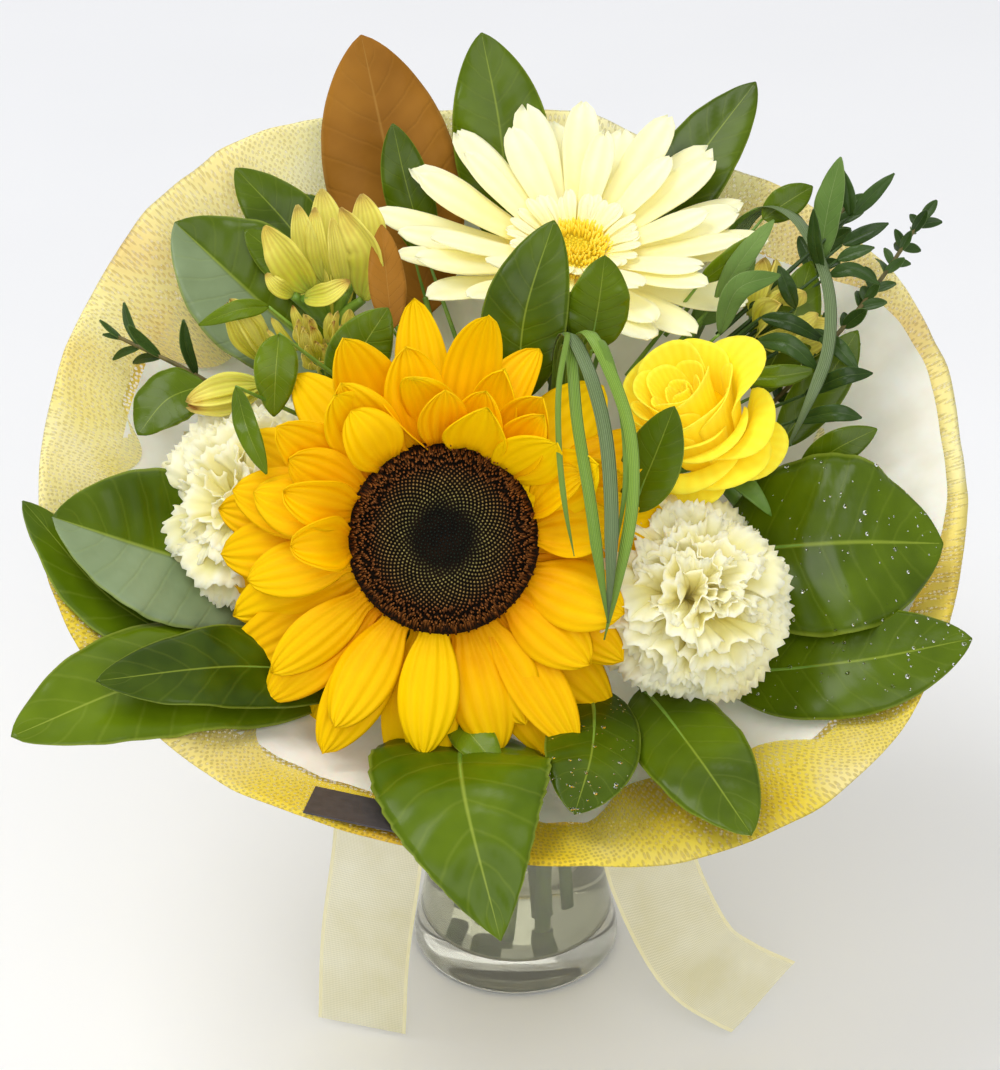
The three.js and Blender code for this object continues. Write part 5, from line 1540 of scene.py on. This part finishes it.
def grass_blade(points, width, tone, slot, twist):
    """A narrow blade with a slight keel, turned by the twist from foot to tip."""
    u, v, faces = grid(6, 120)
    x = 2 * u - 1
    centre, ahead = along(points, v), heading(points, v)
    side = unit(np.array([1, 0, 0]) - ahead * ahead[:, :1])
    up = np.cross(side, ahead)
    turn = twist * v
    side, up = (side * np.cos(turn)[:, None] + up * np.sin(turn)[:, None],
                up * np.cos(turn)[:, None] - side * np.sin(turn)[:, None])
    half = width / 2 * np.clip((1 - v) * 7, 0.06, 1) ** 0.8
    places = centre + side * (half * x)[:, None] + up * (0.28 * half * np.abs(x))[:, None]
    return part(places, faces, u, v, tone, slot)


class POSY_OT_grass(bpy.types.Operator):
    """Loop the grass blades over the flowers"""
    bl_idname = "posy.grass"
    bl_label = "Looped grass"

    def execute(self, context):
        made = []
        for name, (tie, plan) in GRASS.items():
            blades = [grass_blade(bound(tie) + way, width, tone, slot, twist)
                      for way, width, tone, slot, twist in plan]
            piece = thicken(assemble(f"{name}_look", blades, "grass_fresh", "grass_blue"), 0.3)
            made.append(settle(piece, "grass", name))
        return wanted(made)


class POSY_OT_droplets(bpy.types.Operator):
    """Scatter water droplets over the wet leaves"""
    bl_idname = "posy.droplets"
    bl_label = "Droplets"

    def execute(self, context):
        rng = np.random.default_rng(77)
        dome, faces, _ = floret(8, (1, -0.1), (0.9, 0.2), (0.6, 0.38), (0, 0.46))
        none = np.zeros(len(dome))
        parts = []
        for places, cells in WET_PLACES.values():
            for cell in rng.integers(0, len(cells), settings().droplets):
                corners = places[cells[cell]]
                share = rng.dirichlet(np.ones(4))
                normal = unit(np.cross(corners[2] - corners[0], corners[3] - corners[1]))
                side = unit(np.cross(normal, (0.3, 0.2, 0.9)))
                size = 0.18 + min(0.7, rng.exponential(0.18))
                local = dome * (size, size, 0.8 * size)
                placed = share @ corners + normal * 0.12 + local @ (side, np.cross(normal, side), normal)
                parts.append(part(placed, faces, none, none))
        return wanted([settle(assemble("droplets", parts, "droplet"), "water")])


CAMERA_TILT = math.radians(57)  # from straight down: the camera looks 33 degrees below level
SENSOR = 36
FOCAL_SHARE = 3.705  # focal length as a share of the picture's width


class POSY_OT_stage(bpy.types.Operator):
    """Lay the floor and set up the light and the camera"""
    bl_idname = "posy.stage"
    bl_label = "Stage"

    def execute(self, context):
        bpy.ops.object.select_all(action="DESELECT")
        bpy.ops.mesh.primitive_plane_add(size=12, location=(0, 0, -0.0005))
        floor = context.active_object
        floor.name = "floor"
        floor.data.materials.append(MATERIALS["floor"])
        # name, place, size and power
        for name, place, size, power in (
                ("key", (-0.8, -0.25, 2.1), 1.1, settings().key_power), ("side", (1.0, 0.1, 2.0), 1.3, 1.5),
                ("fill", (0.3, -1.8, 1.5), 1.6, 18.0), ("back", (0.3, 1.5, 1.9), 1.6, 6.0)):
            bpy.ops.object.light_add(type="AREA", location=place)
            lamp = context.active_object
            lamp.name = name
            lamp.data.size = size
            lamp.data.energy = power
            aim = Vector((0, -0.03, 0.2)) - Vector(place)
            lamp.rotation_euler = aim.to_track_quat("-Z", "Y").to_euler()
        world = bpy.data.worlds.new("studio")
        world.use_nodes = True
        sockets = world.node_tree.nodes["Background"].inputs
        sockets["Color"].default_value = (1, 1, 1, 1)
        sockets["Strength"].default_value = 0.52
        context.scene.world = world
        bpy.ops.object.camera_add(location=(-0.0062, -1.1229, 0.913), rotation=(CAMERA_TILT, 0, 0))
        camera = context.active_object
        camera.data.sensor_fit = "HORIZONTAL"
        camera.data.sensor_width = SENSOR
        camera.data.lens = SENSOR * FOCAL_SHARE
        context.scene.camera = camera
        context.scene.view_settings.view_transform = "Standard"
        return {"FINISHED"}


OPERATORS = (POSY_OT_vase, POSY_OT_wrap, POSY_OT_ribbon, POSY_OT_stems, POSY_OT_sunflower, POSY_OT_gerbera,
             POSY_OT_rose, POSY_OT_carnations, POSY_OT_alstroemeria, POSY_OT_leaves, POSY_OT_sprigs,
             POSY_OT_grass, POSY_OT_droplets, POSY_OT_stage)


class POSY_PT_pieces(bpy.types.Panel):
    """Lists the pieces of the posy"""
    bl_idname = "POSY_PT_pieces"
    bl_label = "Posy"
    bl_space_type = "VIEW_3D"
    bl_region_type = "UI"
    bl_category = "Posy"

    def draw(self, context):
        for name in PosySettings.__annotations__:
            self.layout.prop(context.scene.posy, name)
        for operator in OPERATORS:
            self.layout.operator(operator.bl_idname)


CLASSES = (PosySettings, *OPERATORS, POSY_PT_pieces)


def register():
    for made in CLASSES:
        bpy.utils.register_class(made)
    bpy.types.Scene.posy = bpy.props.PointerProperty(type=PosySettings)


def unregister():
    del bpy.types.Scene.posy
    for made in reversed(CLASSES):
        bpy.utils.unregister_class(made)


def main():
    register()
    make_materials()
    for operator in OPERATORS:
        getattr(bpy.ops.posy, operator.bl_idname.split(".")[1])()


if __name__ == "__main__":
    main()
